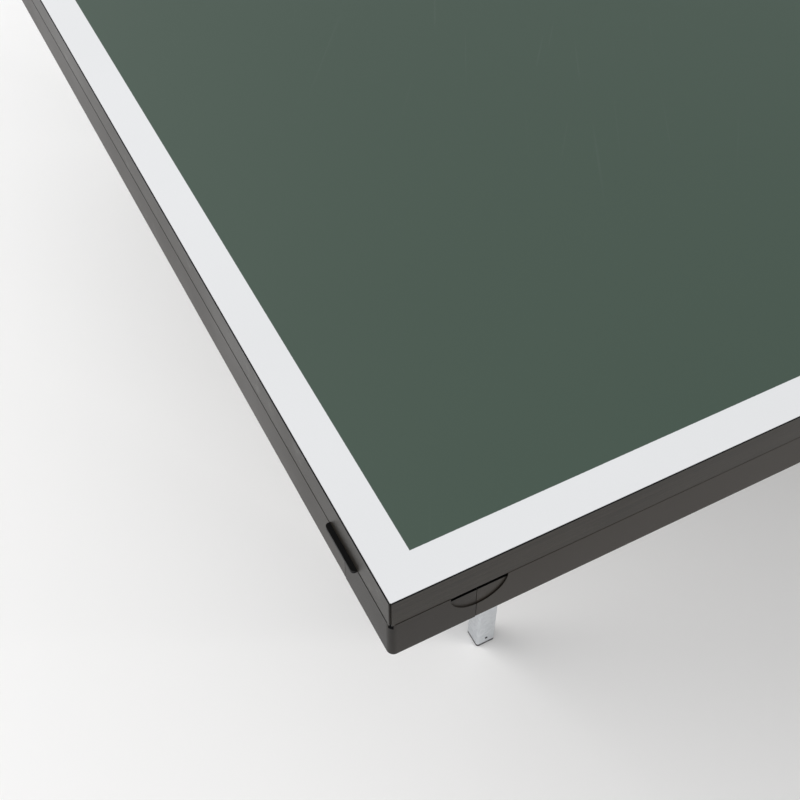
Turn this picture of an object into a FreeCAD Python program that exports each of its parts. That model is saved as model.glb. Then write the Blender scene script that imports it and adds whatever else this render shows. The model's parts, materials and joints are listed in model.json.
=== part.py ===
import FreeCAD, Part
import os
import re
import Sketcher

# Ping pong table with two folding halves on a wheeled trolley.
# Millimetres, +Z up, +X along the table, origin on the floor at the middle of the table.
# Everything is made for the left half (x < 0) or the front side (y < 0) and mirrored from there.

SIZES = {
    # playing surface
    "table_length": 2740.0,
    "table_width": 1525.0,
    "table_height": 760.0,
    "board_thick": 19.0,
    "band_thick": 1.0,
    "half_gap": 2.0,
    # frame under each board
    "rail_depth": 27.0,
    "rail_width": 20.0,
    "rail_wall": 3.0,
    "frame_proud": 0.2,
    "rail_round": 0.6,
    "seam_gap": 0.3,
    "runner_width": 25.0,
    "runner_wall": 2.5,
    "runner_gap": 0.5,
    # corner pieces
    "corner_arm_side": 43.5,
    "corner_arm_end": 45.0,
    "corner_drop": 1.0,
    "corner_round": 3.5,
    "corner_edge": 1.2,
    # finger recess and black tabs in the seam under the board
    "recess_from_end": 44.5,
    "recess_radius": 14.6,
    "recess_depth": 0.7,
    "recess_drop": 0.5,
    "slot_high": 2.0,
    "side_slot_high": 3.4,
    "slot_deep": 12.0,
    "side_slot_start": 30.0,
    "side_slot_long": 28.8,
    "end_slot_start": 31.9,
    "end_slot_long": 28.7,
    "tab_play": 0.1,
    "tab_thick": 1.9,
    "tab_out": 2.4,
    "tab_in": 8.0,
    "tab_long": 11.0,
    # fold pivot of each half
    "pivot_x": 340.0,
    "pivot_drop": 31.0,
    "pin_radius": 6.0,
    "pin_head": 9.0,
    "pin_head_thick": 3.0,
    "plate_thick": 4.0,
    "lug_radius": 12.0,
    "disc_radius": 30.0,
    "web_half": 30.0,
    "side_play": 1.0,
    "turn_play": 0.05,
    # leg frame
    "leg_from_end": 258.0,
    "leg_from_side": 296.0,
    "leg_size": 22.0,
    "leg_wall": 1.2,
    "leg_round": 2.5,
    "leg_pin_offset": 10.0,
    "leg_head_drop": 20.0,
    "leg_eye": 11.0,
    "leg_bracket_play": 1.0,
    "foot_thick": 3.5,
    "foot_plug": 22.0,
    "bar_drop": 95.0,
    # link rods
    "link_drop": 50.0,
    "link_thick": 5.5,
    "link_high": 12.0,
    "link_eye": 8.0,
    "link_pin": 4.0,
    "link_play": 0.3,
    "link_gap": 1.0,
    "link_head_thick": 2.5,
    "stub_radius": 6.0,
    # trolley
    "post_wide": 25.0,
    "post_deep": 30.0,
    "post_offset": 5.0,
    "post_gap": 1.0,
    "tube_wall": 2.0,
    "tube_round": 2.5,
    "cap_thick": 2.0,
    "cap_plug": 12.0,
    "block_eye": 14.0,
    "block_drop": 20.0,
    "bush_wall": 2.0,
    "base_bottom": 105.0,
    "base_high": 30.0,
    "base_half": 420.0,
    "cross_x": 250.0,
    "cross_size": 25.0,
    # lock plungers
    "lock_radius": 4.0,
    "lock_offset": 22.0,
    "lock_travel": 6.0,
    "lock_knob": 9.0,
    "lock_knob_long": 20.0,
    "lock_tip_gap": 0.5,
    # castors
    "castor_x": 385.0,
    "wheel_radius": 37.5,
    "wheel_wide": 24.0,
    "wheel_hub": 11.0,
    "hub_half": 13.0,
    "hub_foot": 14.0,
    "wheel_web_half": 9.0,
    "rim_inner": 27.0,
    "rim_outer": 30.0,
    "tyre_bevel": 3.0,
    "axle_head": 7.0,
    "castor_trail": 28.0,
    "axle_radius": 4.0,
    "fork_top": 97.0,
    "fork_plate": 3.0,
    "fork_gap": 2.0,
    "fork_half_top": 18.0,
    "fork_lip": 12.0,
    "fork_ear": 30.0,
    "fork_tail": 21.0,
    "fork_foot": 10.0,
    "kingpin_radius": 5.0,
    "kingpin_nut": 8.0,
    "kingpin_nut_high": 5.0,
    "socket_size": 44.0,
    "socket_thick": 3.0,
    "bearing_radius": 16.0,
    "swivel_gap": 0.5,
    "pedal_x": 50.0,
    "pedal_z": 84.0,
    "pedal_pin": 3.0,
    "pedal_eye": 7.0,
    "pedal_long": 26.0,
    "pedal_thick": 5.0,
    "pedal_nose": 13.0,
    "pedal_nose_wide": 6.0,
    # net
    "net_length": 1830.0,
    "net_height": 152.5,
    "net_thick": 3.0,
    "net_floor_gap": 1.0,
    "net_end_gap": 0.3,
    "net_beam_top": 585.0,
    "net_beam_size": 30.0,
    "net_post_radius": 11.0,
    "net_post_wall": 1.5,
    "knob_radius": 15.0,
    "knob_long": 18.0,
    "knob_stem": 4.0,
    "knob_stem_long": 7.0,
    "knob_z": 690.0,
    "knob_gap": 1.0,
    # screws
    "screw_head": 4.5,
    "screw_head_high": 2.5,
    "screw_shank": 2.0,
    "runner_screw_first": 120.0,
    "runner_screw_pitch": 275.0,
    "web_screw_offset": 24.0,
}

RUNNER_SCREWS = 5
X_AXIS, Y_AXIS, Z_AXIS = "x", "y", "z"
TURNS = {
    X_AXIS: FreeCAD.Rotation(FreeCAD.Vector(0, 1, 0), 90),
    Y_AXIS: FreeCAD.Rotation(FreeCAD.Vector(1, 0, 0), -90),
    Z_AXIS: FreeCAD.Rotation(),
}

doc = FreeCAD.newDocument("ping_pong_table")
sheet = doc.addObject("Spreadsheet::Sheet", "Sizes")
for row, (alias, number) in enumerate(SIZES.items(), start=1):
    sheet.set(f"A{row}", alias)
    sheet.set(f"B{row}", str(number))
    sheet.setAlias(f"B{row}", alias)
doc.recompute()

NODES = []


# ---------------------------------------------------------------- helpers

def bound(text):
    """Turn plain size names into references to the sheet."""
    return re.sub(r"[a-z][a-z_]*", lambda word: "Sizes." + word.group(0), text)


def value(text):
    """Work out a sum of products of size names and numbers, for a sketch's first guess."""
    total = 0.0
    for sign, term in re.findall(r"([+-]?)\s*([a-z_0-9.]+(?:\s*[*/]\s*[a-z_0-9.]+)*)", text):
        product = 1.0
        for mark, factor in re.findall(r"([*/]?)\s*([a-z_0-9.]+)", term):
            number = SIZES[factor] if factor in SIZES else float(factor)
            product = product / number if mark == "/" else product * number
        total += -product if sign == "-" else product
    return total


def place(item, at, axis=Z_AXIS):
    item.Placement = FreeCAD.Placement(FreeCAD.Vector(), TURNS[axis])
    for letter, text in zip("xyz", at):
        item.setExpression("Placement.Base." + letter, bound(text))
    return item


def box(name, size, at):
    """Box from its size and its lowest corner."""
    item = doc.addObject("Part::Box", name)
    for side, text in zip(("Length", "Width", "Height"), size):
        item.setExpression(side, bound(text))
    return place(item, at)


def rod(name, radius, long, at, axis):
    """Cylinder from the middle of its first face, along one axis."""
    item = doc.addObject("Part::Cylinder", name)
    item.setExpression("Radius", bound(radius))
    item.setExpression("Height", bound(long))
    return place(item, at, axis)


def fuse(name, items):
    item = doc.addObject("Part::MultiFuse", name)
    item.Shapes = items
    item.Refine = True
    return item


def cut(name, base, tools):
    tool = tools[0] if len(tools) == 1 else fuse(name + "_tools", tools)
    item = doc.addObject("Part::Cut", name)
    item.Base = base
    item.Tool = tool
    return item


def group(name, items):
    item = doc.addObject("Part::Compound", name)
    item.Links = items
    return item


def mirror(name, source, axis):
    item = doc.addObject("Part::Mirroring", name)
    item.Source = source
    item.Normal = FreeCAD.Vector(*[1.0 if letter == axis else 0.0 for letter in "xyz"])
    return item


def fillet(name, base, radius, wanted):
    """Round the edges of a shape that the test picks."""
    doc.recompute()
    item = doc.addObject("Part::Fillet", name)
    item.Base = base
    size = value(radius)
    picked = [number for number, edge in enumerate(base.Shape.Edges, start=1) if wanted(edge)]
    item.Edges = [(number, size, size) for number in picked]
    return item


def both_sides(name, front):
    """A piece and its copy on the other long side of the table."""
    return group(name, [front, mirror(name + "_rear", front, Y_AXIS)])


def node(name, item):
    item.Label = name
    NODES.append(item)
    return item


def node_pair(name, left):
    """The same piece on the left and on the right half of the table."""
    node("left_" + name, left)
    node("right_" + name, mirror("right_" + name, left, X_AXIS))


def lies_along(axis):
    """Test for the edges of a box that run along one axis."""
    def wanted(edge):
        box_ = edge.BoundBox
        spans = {X_AXIS: box_.XLength, Y_AXIS: box_.YLength, Z_AXIS: box_.ZLength}
        return all(spans[letter] < 1e-6 for letter in "xyz" if letter != axis)
    return wanted


def origin_plane(body, role):
    return [feature for feature in body.Origin.OriginFeatures if feature.Role == role][0]


def profile(body, name, role, points):
    """Closed outline in one of the body's own planes, each corner held by the sheet."""
    sketch = body.newObject("Sketcher::SketchObject", name)
    sketch.AttachmentSupport = [(origin_plane(body, role), "")]
    sketch.MapMode = "FlatFace"
    spots = [FreeCAD.Vector(value(across), value(up), 0) for across, up in points]
    for number, spot in enumerate(spots):
        sketch.addGeometry(Part.LineSegment(spot, spots[(number + 1) % len(spots)]), False)
    for number in range(len(spots)):
        following = (number + 1) % len(spots)
        sketch.addConstraint(Sketcher.Constraint("Coincident", number, 2, following, 1))
    for number, (across, up) in enumerate(points):
        for kind, text, amount in (("DistanceX", across, spots[number].x), ("DistanceY", up, spots[number].y)):
            if abs(amount) < 1e-9:
                axis_line = -2 if kind == "DistanceX" else -1
                sketch.addConstraint(Sketcher.Constraint("PointOnObject", number, 1, axis_line))
                continue
            index = sketch.addConstraint(Sketcher.Constraint(kind, -1, 1, number, 1, amount))
            sketch.setExpression(f"Constraints[{index}]", bound(text))
    return sketch


def pad(body, name, sketch, long, middle=False):
    item = body.newObject("PartDesign::Pad", name)
    item.Profile = sketch
    item.setExpression("Length", bound(long))
    item.Midplane = middle
    sketch.Visibility = False
    return item


def spin(body, name, sketch, axis):
    """Full turn of an outline about one of the sketch's own axes."""
    item = body.newObject("PartDesign::Revolution", name)
    item.Profile = sketch
    item.ReferenceAxis = (sketch, [axis])
    item.Angle = 360.0
    return item


def new_body(name):
    return doc.addObject("PartDesign::Body", name)


# ---------------------------------------------------------------- places used by several pieces

END = "-table_length / 2"
SIDE = "-table_width / 2"
BOARD_UNDER = "table_height - board_thick"
FRAME_UNDER = "table_height - board_thick - rail_depth"
PIVOT_Z = "table_height - board_thick - pivot_drop"
LEG_X = "-table_length / 2 + leg_from_end"
LEG_Y = "-table_width / 2 + leg_from_side"
LEG_PIN_X = "-table_length / 2 + leg_from_end + leg_pin_offset"
LINK_Z = "table_height - board_thick - pivot_drop - link_drop"
LINK_Y = "-table_width / 2 + leg_from_side - leg_size / 2 - link_gap - link_thick"
RUNNER_FACE = LEG_Y + " - leg_size / 2 - leg_bracket_play - plate_thick - runner_gap"
POST_FACE = RUNNER_FACE + " - runner_width - post_gap - plate_thick - side_play"
POST_X = "-pivot_x - post_offset - post_deep"
POST_Y = POST_FACE + " - post_wide"


# ---------------------------------------------------------------- top: board, bands, rails

def board():
    body = new_body("board_body")
    near, far = END + " + band_thick", "-half_gap - band_thick"
    low, high = SIDE + " + band_thick", "table_width / 2 - band_thick"
    sketch = profile(body, "board_outline", "XY_Plane", [(near, low), (far, low), (far, high), (near, high)])
    pad(body, "board_pad", sketch, "board_thick")
    return place(body, ("0", "0", BOARD_UNDER))


def edge_bands():
    long_x = "table_length / 2 - half_gap - 2 * band_thick"
    long_y = "table_width - 2 * band_thick"
    side = box("band_side", (long_x, "band_thick", "board_thick"), (END + " + band_thick", SIDE, BOARD_UNDER))
    end = box("band_end", ("band_thick", long_y, "board_thick"), (END, SIDE + " + band_thick", BOARD_UNDER))
    inner_at = ("-half_gap - band_thick", SIDE + " + band_thick", BOARD_UNDER)
    inner = box("band_inner", ("band_thick", long_y, "board_thick"), inner_at)
    return group("edge_bands", [side, mirror("band_side_rear", side, Y_AXIS), end, inner])


def hollow(name, size, at, wall, along, rounding):
    """Tube of rectangular section with rounded long edges, open at both ends along one axis."""
    inner_size = [text if letter == along else f"{text} - 2 * {wall}" for letter, text in zip("xyz", size)]
    inner_at = [text if letter == along else f"{text} + {wall}" for letter, text in zip("xyz", at)]
    outer = fillet(name + "_rounded", box(name + "_outer", size, at), rounding, lies_along(along))
    return cut(name, outer, [box(name + "_inner", inner_size, inner_at)])


def finger_recess():
    """Half-round hollow in the side face and the slot at its top, one cut for rail and corner piece."""
    face = SIDE + " - frame_proud"
    bowl = rod("recess_bowl", "recess_radius", "recess_depth",
               (END + " + recess_from_end", face, BOARD_UNDER + " - recess_drop"), Y_AXIS)
    slot = box("recess_slot", ("side_slot_long", "slot_deep", "side_slot_high"),
               (END + " + side_slot_start", face, BOARD_UNDER + " - side_slot_high"))
    return [bowl, slot]


def end_slot():
    return box("end_slot", ("slot_deep", "end_slot_long", "slot_high"),
               (END + " - frame_proud", SIDE + " + end_slot_start", BOARD_UNDER + " - slot_high"))


def side_rails(recess):
    long_x = "table_length / 2 - 2 * corner_arm_side - half_gap - 2 * seam_gap + frame_proud"
    at = (END + " + corner_arm_side + seam_gap", SIDE + " - frame_proud", FRAME_UNDER)
    tube = hollow("side_rail_tube", (long_x, "rail_width", "rail_depth"), at, "rail_wall", X_AXIS, "rail_round")
    return both_sides("side_rails", cut("side_rail", tube, recess))


def end_rails(slot):
    long_y = "table_width - 2 * corner_arm_end - 2 * seam_gap"
    start_y = SIDE + " + corner_arm_end + seam_gap"
    outer_at = (END + " - frame_proud", start_y, FRAME_UNDER)
    size = ("rail_width", long_y, "rail_depth")
    outer = hollow("end_rail_outer", size, outer_at, "rail_wall", Y_AXIS, "rail_round")
    outer_cut = cut("end_rail", outer, [slot, mirror("end_slot_rear", slot, Y_AXIS)])
    inner_at = ("-half_gap - rail_width", start_y, FRAME_UNDER)
    inner = hollow("end_rail_inner", size, inner_at, "rail_wall", Y_AXIS, "rail_round")
    return group("end_rails", [outer_cut, inner])


def corner_pieces(recess, slot):
    """L-shaped piece, its outer upright edge and its lower edges rounded."""
    body = new_body("corner_body")
    x0, y0 = END + " - frame_proud", SIDE + " - frame_proud"
    x1, y1 = END + " + corner_arm_side", SIDE + " + corner_arm_end"
    x2, y2 = x0 + " + rail_width", y0 + " + rail_width"
    outline = [(x0, y0), (x1, y0), (x1, y2), (x2, y2), (x2, y1), (x0, y1)]
    pad(body, "corner_pad", profile(body, "corner_outline", "XY_Plane", outline), "rail_depth + corner_drop")
    place(body, ("0", "0", FRAME_UNDER + " - corner_drop"))
    left, front = value(x0), value(y0)

    def outer_upright(edge):
        box_ = edge.BoundBox
        return lies_along(Z_AXIS)(edge) and abs(box_.XMin - left) < 0.01 and abs(box_.YMin - front) < 0.01

    rounded = fillet("corner_rounded", body, "corner_round", outer_upright)
    low = value(FRAME_UNDER) - SIZES["corner_drop"]

    def lower_outer(edge):
        box_ = edge.BoundBox
        at_bottom = box_.ZMax < low + 0.01
        on_end = box_.XMax < left + SIZES["corner_round"] + 0.01
        on_side = box_.YMax < front + SIZES["corner_round"] + 0.01
        return at_bottom and (on_end or on_side) and edge.Length > 1.0

    smooth = fillet("corner_smooth", rounded, "corner_edge", lower_outer)
    outer = cut("outer_corner", smooth, recess + [slot])
    inner_body = new_body("inner_corner_body")
    inner_x0, inner_x1 = "-half_gap - corner_arm_side + frame_proud", "-half_gap"
    inner_x2 = "-half_gap - rail_width"
    inner_outline = [(inner_x0, y0), (inner_x1, y0), (inner_x1, y1), (inner_x2, y1), (inner_x2, y2), (inner_x0, y2)]
    inner_sketch = profile(inner_body, "inner_corner_outline", "XY_Plane", inner_outline)
    pad(inner_body, "inner_corner_pad", inner_sketch, "rail_depth")
    place(inner_body, ("0", "0", FRAME_UNDER))
    return both_sides("corner_pieces", group("front_corners", [outer, inner_body]))


def rounded_tab(name, size, at, face_axis):
    """Thin strip whose two outer ends are rounded."""
    blank = box(name + "_blank", size, at)
    doc.recompute()
    shape_box = blank.Shape.BoundBox
    outer = shape_box.XMin if face_axis == X_AXIS else shape_box.YMin

    def at_face(edge):
        near = edge.BoundBox.XMin if face_axis == X_AXIS else edge.BoundBox.YMin
        return lies_along(Z_AXIS)(edge) and abs(near - outer) < 0.01

    return fillet(name, blank, "tab_thick", at_face)


def corner_tabs():
    high = "tab_thick"
    z = BOARD_UNDER + " - tab_thick - tab_play"
    side = rounded_tab("side_tab", ("side_slot_long - 2 * tab_play", "tab_long - tab_in", high),
                       (END + " + side_slot_start + tab_play", SIDE + " - frame_proud + tab_in", BOARD_UNDER + " - side_slot_high"),
                      Y_AXIS)
    end = rounded_tab("end_tab", ("tab_long + tab_out", "end_slot_long - 2 * tab_play", high),
                      (END + " - frame_proud - tab_out", SIDE + " + end_slot_start + tab_play", z), X_AXIS)
    return both_sides("corner_tabs", group("front_tabs", [side, end]))


# ---------------------------------------------------------------- runners, brackets, pins, screws

def screw(name, x, y, z, depth):
    """Pan-head screw seen from below; z is the face that its head sits on."""
    head = rod(name + "_head", "screw_head", "screw_head_high", (x, y, z + " - screw_head_high"), Z_AXIS)
    shank = rod(name + "_shank", "screw_shank", depth, (x, y, z), Z_AXIS)
    return fuse(name, [head, shank])


def runner_and_screws():
    y = RUNNER_FACE + " - runner_width"
    x0 = END + " - frame_proud + rail_width"
    long_x = "table_length / 2 - half_gap + frame_proud - 2 * rail_width"
    tube = hollow("runner_tube", (long_x, "runner_width", "rail_depth"), (x0, y, FRAME_UNDER), "runner_wall",
                  X_AXIS, "rail_round")
    holes, screws = [], []
    for number in range(RUNNER_SCREWS):
        x = f"{END} + runner_screw_first + {number} * runner_screw_pitch"
        middle = y + " + runner_width / 2"
        holes.append(rod(f"runner_hole_{number}", "screw_shank", "runner_wall", (x, middle, FRAME_UNDER), Z_AXIS))
        screws.append(screw(f"runner_screw_{number}", x, middle, FRAME_UNDER, "runner_wall"))
    return cut("runner", tube, holes), screws


def hinge_bracket(name, x, y_low, inside, low_radius, high_radius, screws):
    """Channel under the board with two lugs: the web is screwed up, the pin goes through the lugs.

    The lug nearer the table's middle line has the larger radius."""
    web_z = BOARD_UNDER + " - plate_thick"
    parts = [box(name + "_web", ("2 * web_half", f"{inside} + 2 * plate_thick", "plate_thick"),
                 (f"{x} - web_half", y_low, web_z))]
    inner_y = f"{y_low} + plate_thick + {inside}"
    for label, y, radius in (("outer", y_low, low_radius), ("inner", inner_y, high_radius)):
        parts.append(rod(f"{name}_{label}_eye", radius, "plate_thick", (x, y, PIVOT_Z), Y_AXIS))
        parts.append(box(f"{name}_{label}_lug", (f"2 * {low_radius}", "plate_thick", "pivot_drop"),
                         (f"{x} - {low_radius}", y, PIVOT_Z)))
    width = f"{inside} + 2 * plate_thick"
    tools = [rod(name + "_bore", "pin_radius", width, (x, y_low, PIVOT_Z), Y_AXIS)]
    middle = f"{y_low} + plate_thick + ({inside}) / 2"
    for side in ("-", "+"):
        spot = f"{x} {side} web_screw_offset"
        label = f"{name}_screw_{'a' if side == '-' else 'b'}"
        tools.append(rod(label + "_hole", "screw_shank", "plate_thick", (spot, middle, web_z), Z_AXIS))
        screws.append(screw(label, spot, middle, web_z, "plate_thick"))
    return fuse(name + "_blank", parts), tools


def pin(name, x, z, y_low, long, radius, head, head_thick, head_inside=False):
    """Hinge pin along Y with a head on its outer end, or on the end nearer the middle line."""
    shank = rod(name + "_shank", radius, long, (x, y_low, z), Y_AXIS)
    cap_y = f"{y_low} + {long}" if head_inside else f"{y_low} - {head_thick}"
    cap = rod(name + "_cap", head, head_thick, (x, cap_y, z), Y_AXIS)
    return fuse(name, [shank, cap])


def hinges(screws):
    pivot_low = POST_Y + " - side_play - plate_thick"
    pivot_inside = "post_wide + 2 * side_play"
    blank, tools = hinge_bracket("pivot_bracket", "-pivot_x", pivot_low, pivot_inside,
                                 "lug_radius", "disc_radius", screws)
    inner_plate = POST_FACE + " + side_play"
    spots = (("-pivot_x - lock_offset", PIVOT_Z), ("-pivot_x", PIVOT_Z + " - lock_offset"))
    for number, (x, z) in enumerate(spots):
        tools.append(rod(f"lock_hole_{number}", "lock_radius + link_play", "plate_thick", (x, inner_plate, z), Y_AXIS))
    pivot = cut("pivot_bracket", blank, tools)
    leg_low = LEG_Y + " - leg_size / 2 - leg_bracket_play - plate_thick"
    leg_inside = "leg_size + 2 * leg_bracket_play"
    leg_blank, leg_tools = hinge_bracket("leg_bracket", LEG_PIN_X, leg_low, leg_inside,
                                         "lug_radius", "lug_radius", screws)
    leg = cut("leg_bracket", leg_blank, leg_tools)
    pivot_pin = pin("pivot_pin", "-pivot_x", PIVOT_Z, pivot_low, f"{pivot_inside} + 2 * plate_thick",
                    "pin_radius", "pin_head", "pin_head_thick")
    leg_pin = pin("leg_pin", LEG_PIN_X, PIVOT_Z, leg_low, f"{leg_inside} + 2 * plate_thick",
                  "pin_radius", "pin_head", "pin_head_thick", head_inside=True)
    return group("front_brackets", [pivot, leg]), group("front_pins", [pivot_pin, leg_pin])


# ---------------------------------------------------------------- leg frame and link rods

def leg_frame():
    x0, y0 = LEG_X + " - leg_size / 2", LEG_Y + " - leg_size / 2"
    long_z = PIVOT_Z + " - leg_head_drop - foot_thick"
    outer = box("leg_outer", ("leg_size", "leg_size", long_z), (x0, y0, "foot_thick"))
    rounded = fillet("leg_rounded", outer, "leg_round", lies_along(Z_AXIS))
    inner_size = ("leg_size - 2 * leg_wall", "leg_size - 2 * leg_wall", long_z)
    inner = box("leg_inner", inner_size, (x0 + " + leg_wall", y0 + " + leg_wall", "foot_thick"))
    bore = rod("leg_link_bore", "link_pin", "leg_size", (LEG_X, y0, LINK_Z), Y_AXIS)
    tube = cut("leg_tube", rounded, [inner, bore])
    bar_z = PIVOT_Z + " - bar_drop - leg_size"
    bar_y = LEG_Y + " + leg_size / 2"
    bar_long = "table_width - 2 * leg_from_side - leg_size"
    bar = hollow("leg_bar", ("leg_size", bar_long, "leg_size"), (x0, bar_y, bar_z), "leg_wall", Y_AXIS, "leg_round")
    return group("leg_frame", [tube, mirror("leg_tube_rear", tube, Y_AXIS), bar])


def leg_head():
    """Moulded head on the leg tube, with the eye that turns on the leg pin."""
    y0 = LEG_Y + " - leg_size / 2"
    eye = rod("leg_head_eye", "leg_eye", "leg_size", (LEG_PIN_X, y0, PIVOT_Z), Y_AXIS)
    block = box("leg_head_block", ("leg_size", "leg_size", "leg_head_drop"),
                (LEG_X + " - leg_size / 2", y0, PIVOT_Z + " - leg_head_drop"))
    bore = rod("leg_head_bore", "pin_radius + turn_play", "leg_size", (LEG_PIN_X, y0, PIVOT_Z), Y_AXIS)
    return cut("leg_head", fuse("leg_head_blank", [eye, block]), [bore])


def leg_foot():
    """Plastic insert: a sole under the tube and a plug inside it."""
    inset = "leg_wall + tab_play"
    inside = "leg_size - 2 * leg_wall - 2 * tab_play"
    x0, y0 = LEG_X + " - leg_size / 2", LEG_Y + " - leg_size / 2"
    sole = box("foot_sole", ("leg_size", "leg_size", "foot_thick"), (x0, y0, "0"))
    rounded = fillet("foot_rounded", sole, "leg_round", lies_along(Z_AXIS))
    plug = box("foot_inside", (inside, inside, "foot_plug"), (f"{x0} + {inset}", f"{y0} + {inset}", "foot_thick"))
    return fuse("leg_foot", [rounded, plug])


def link_rod():
    """Flat bar with an eye at each end, level with the pins that it joins."""
    x0 = LEG_X
    x1 = "-pivot_x - leg_pin_offset"
    long_x = "table_length / 2 - leg_from_end - pivot_x - leg_pin_offset"
    bar = box("link_bar", (long_x, "link_thick", "link_high"), (x0, LINK_Y, LINK_Z + " - link_high / 2"))
    eyes = [rod(f"link_eye_{number}", "link_eye", "link_thick", (x, LINK_Y, LINK_Z), Y_AXIS)
            for number, x in enumerate((x0, x1))]
    bores = [rod("link_bore_leg", "link_pin + link_play", "link_thick", (x0, LINK_Y, LINK_Z), Y_AXIS),
             rod("link_bore_post", "link_pin + turn_play", "link_thick", (x1, LINK_Y, LINK_Z), Y_AXIS)]
    return cut("link_rod", fuse("link_blank", [bar] + eyes), bores)


def link_pin():
    """Pin through the leg on which the rod's outer end turns."""
    low = LINK_Y + " - link_gap"
    long_y = "leg_size + link_thick + 2 * link_gap"
    return pin("link_pin", LEG_X, LINK_Z, low, long_y, "link_pin", "link_eye", "link_head_thick")


# ---------------------------------------------------------------- trolley

def base_rail():
    size = ("2 * base_half", "post_wide", "base_high")
    return hollow("base_rail", size, ("-base_half", POST_Y, "base_bottom"), "tube_wall", X_AXIS, "tube_round")


def cross_tube():
    size = ("cross_size", f"-2 * ({POST_FACE})", "cross_size")
    at = ("-cross_x - cross_size / 2", POST_FACE, "base_bottom + base_high - cross_size")
    return hollow("cross_tube", size, at, "tube_wall", Y_AXIS, "tube_round")


def post():
    bottom = "base_bottom + base_high"
    long_z = PIVOT_Z + " - block_drop - base_bottom - base_high"
    return hollow("post", ("post_deep", "post_wide", long_z), (POST_X, POST_Y, bottom), "tube_wall", Z_AXIS,
                  "tube_round")


def strut():
    bottom = "base_bottom + base_high"
    long_z = "net_beam_top - net_beam_size - base_bottom - base_high"
    at = ("-post_wide / 2", POST_Y, bottom)
    return hollow("strut", ("post_wide", "post_wide", long_z), at, "tube_wall", Z_AXIS, "tube_round")


def net_beam():
    long_y = "net_length + 2 * net_post_radius"
    at = ("-net_beam_size / 2", "-net_length / 2 - net_post_radius", "net_beam_top - net_beam_size")
    return hollow("net_beam", ("net_beam_size", long_y, "net_beam_size"), at, "tube_wall", Y_AXIS, "tube_round")


def end_cap(name, face, size, plug_size, rounding, along):
    """Moulded cap on the open end of a tube: a rounded plate and a plug inside the tube."""
    plate_at, plug_at = list(face), list(face)
    plate = fillet(name + "_plate", box(name + "_blank", size, plate_at), rounding, lies_along(along))
    for number, letter in enumerate("xyz"):
        plug_at[number] += " + cap_thick" if letter == along else " + tube_wall + tab_play"
    return fuse(name, [plate, box(name + "_plug", plug_size, plug_at)])


def tube_caps():
    """Caps on both ends of the base rails and of the net beam."""
    less = " - 2 * tube_wall - 2 * tab_play"
    base = end_cap("base_cap", ("-base_half - cap_thick", POST_Y, "base_bottom"),
                   ("cap_thick", "post_wide", "base_high"),
                   ("cap_plug", f"post_wide{less}", f"base_high{less}"),
                   "tube_round", X_AXIS)
    beam_end = "-net_length / 2 - net_post_radius - cap_thick"
    beam = end_cap("beam_cap", ("-net_beam_size / 2", beam_end, "net_beam_top - net_beam_size"),
                   ("net_beam_size", "cap_thick", "net_beam_size"),
                   (f"net_beam_size{less}", "cap_plug", f"net_beam_size{less}"), "tube_round", Y_AXIS)
    return group("tube_caps", [four_corners("base_caps", base), both_sides("beam_caps", beam)])


def pivot_block(with_lock):
    """Cast block on the post: it holds the bush and, on the front side, guides the lock plunger."""
    name = "lock_block" if with_lock else "plain_block"
    eye = rod(name + "_eye", "block_eye", "post_wide", ("-pivot_x", POST_Y, PIVOT_Z), Y_AXIS)
    body = box(name + "_body", ("post_deep + post_offset", "post_wide", "block_drop + block_eye"),
               (POST_X, POST_Y, PIVOT_Z + " - block_drop"))
    bores = [rod(name + "_bore", "pin_radius + turn_play + bush_wall", "post_wide",
                 ("-pivot_x", POST_Y, PIVOT_Z), Y_AXIS)]
    if with_lock:
        bores.append(rod(name + "_guide", "lock_radius + turn_play", "post_wide",
                         ("-pivot_x - lock_offset", POST_Y, PIVOT_Z), Y_AXIS))
    return cut(name, fuse(name + "_blank", [eye, body]), bores)


def bush():
    outer = rod("bush_outer", "pin_radius + turn_play + bush_wall", "post_wide", ("-pivot_x", POST_Y, PIVOT_Z), Y_AXIS)
    bore = rod("bush_bore", "pin_radius + turn_play", "post_wide", ("-pivot_x", POST_Y, PIVOT_Z), Y_AXIS)
    return cut("bush", outer, [bore])


def link_stub():
    """Stub from the post to the rod's inner end, stepped down where the rod turns on it."""
    x = "-pivot_x - leg_pin_offset"
    thick_long = f"{LINK_Y} - link_gap - ({POST_FACE})"
    thick = rod("stub_thick", "stub_radius", thick_long, (x, POST_FACE, LINK_Z), Y_AXIS)
    thin = rod("stub_thin", "link_pin", "link_thick + 2 * link_gap", (x, LINK_Y + " - link_gap", LINK_Z), Y_AXIS)
    cap = rod("stub_cap", "stub_radius", "link_head_thick",
              (x, LINK_Y + " + link_thick + link_gap", LINK_Z), Y_AXIS)
    return fuse("link_stub", [thick, thin, cap])


def four_corners(name, piece):
    """A piece at all four corners of the trolley."""
    front = group(name + "_front", [piece, mirror(name + "_right", piece, X_AXIS)])
    return both_sides(name, front)


def lock_plunger():
    """Bolt with a knob; drawn back here, it slides in to lock the half open or folded."""
    x = "-pivot_x - lock_offset"
    bolt_y = POST_Y + " - plate_thick - lock_travel - 2 * side_play"
    bolt_long = "post_wide + plate_thick + lock_travel + 2 * side_play - lock_tip_gap"
    bolt = rod("plunger_bolt", "lock_radius", bolt_long, (x, bolt_y, PIVOT_Z), Y_AXIS)
    knob = rod("plunger_knob", "lock_knob", "lock_knob_long", (x, bolt_y + " - lock_knob_long", PIVOT_Z), Y_AXIS)
    return fuse("plunger", [bolt, knob])


# ---------------------------------------------------------------- castors

CASTOR_AT = ("-castor_x", POST_FACE + " - post_wide / 2", "0")


def at_castor(x, y, z):
    """A place given from the castor's swivel axis on the floor."""
    return (CASTOR_AT[0] + x, CASTOR_AT[1] + y, z)


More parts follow.
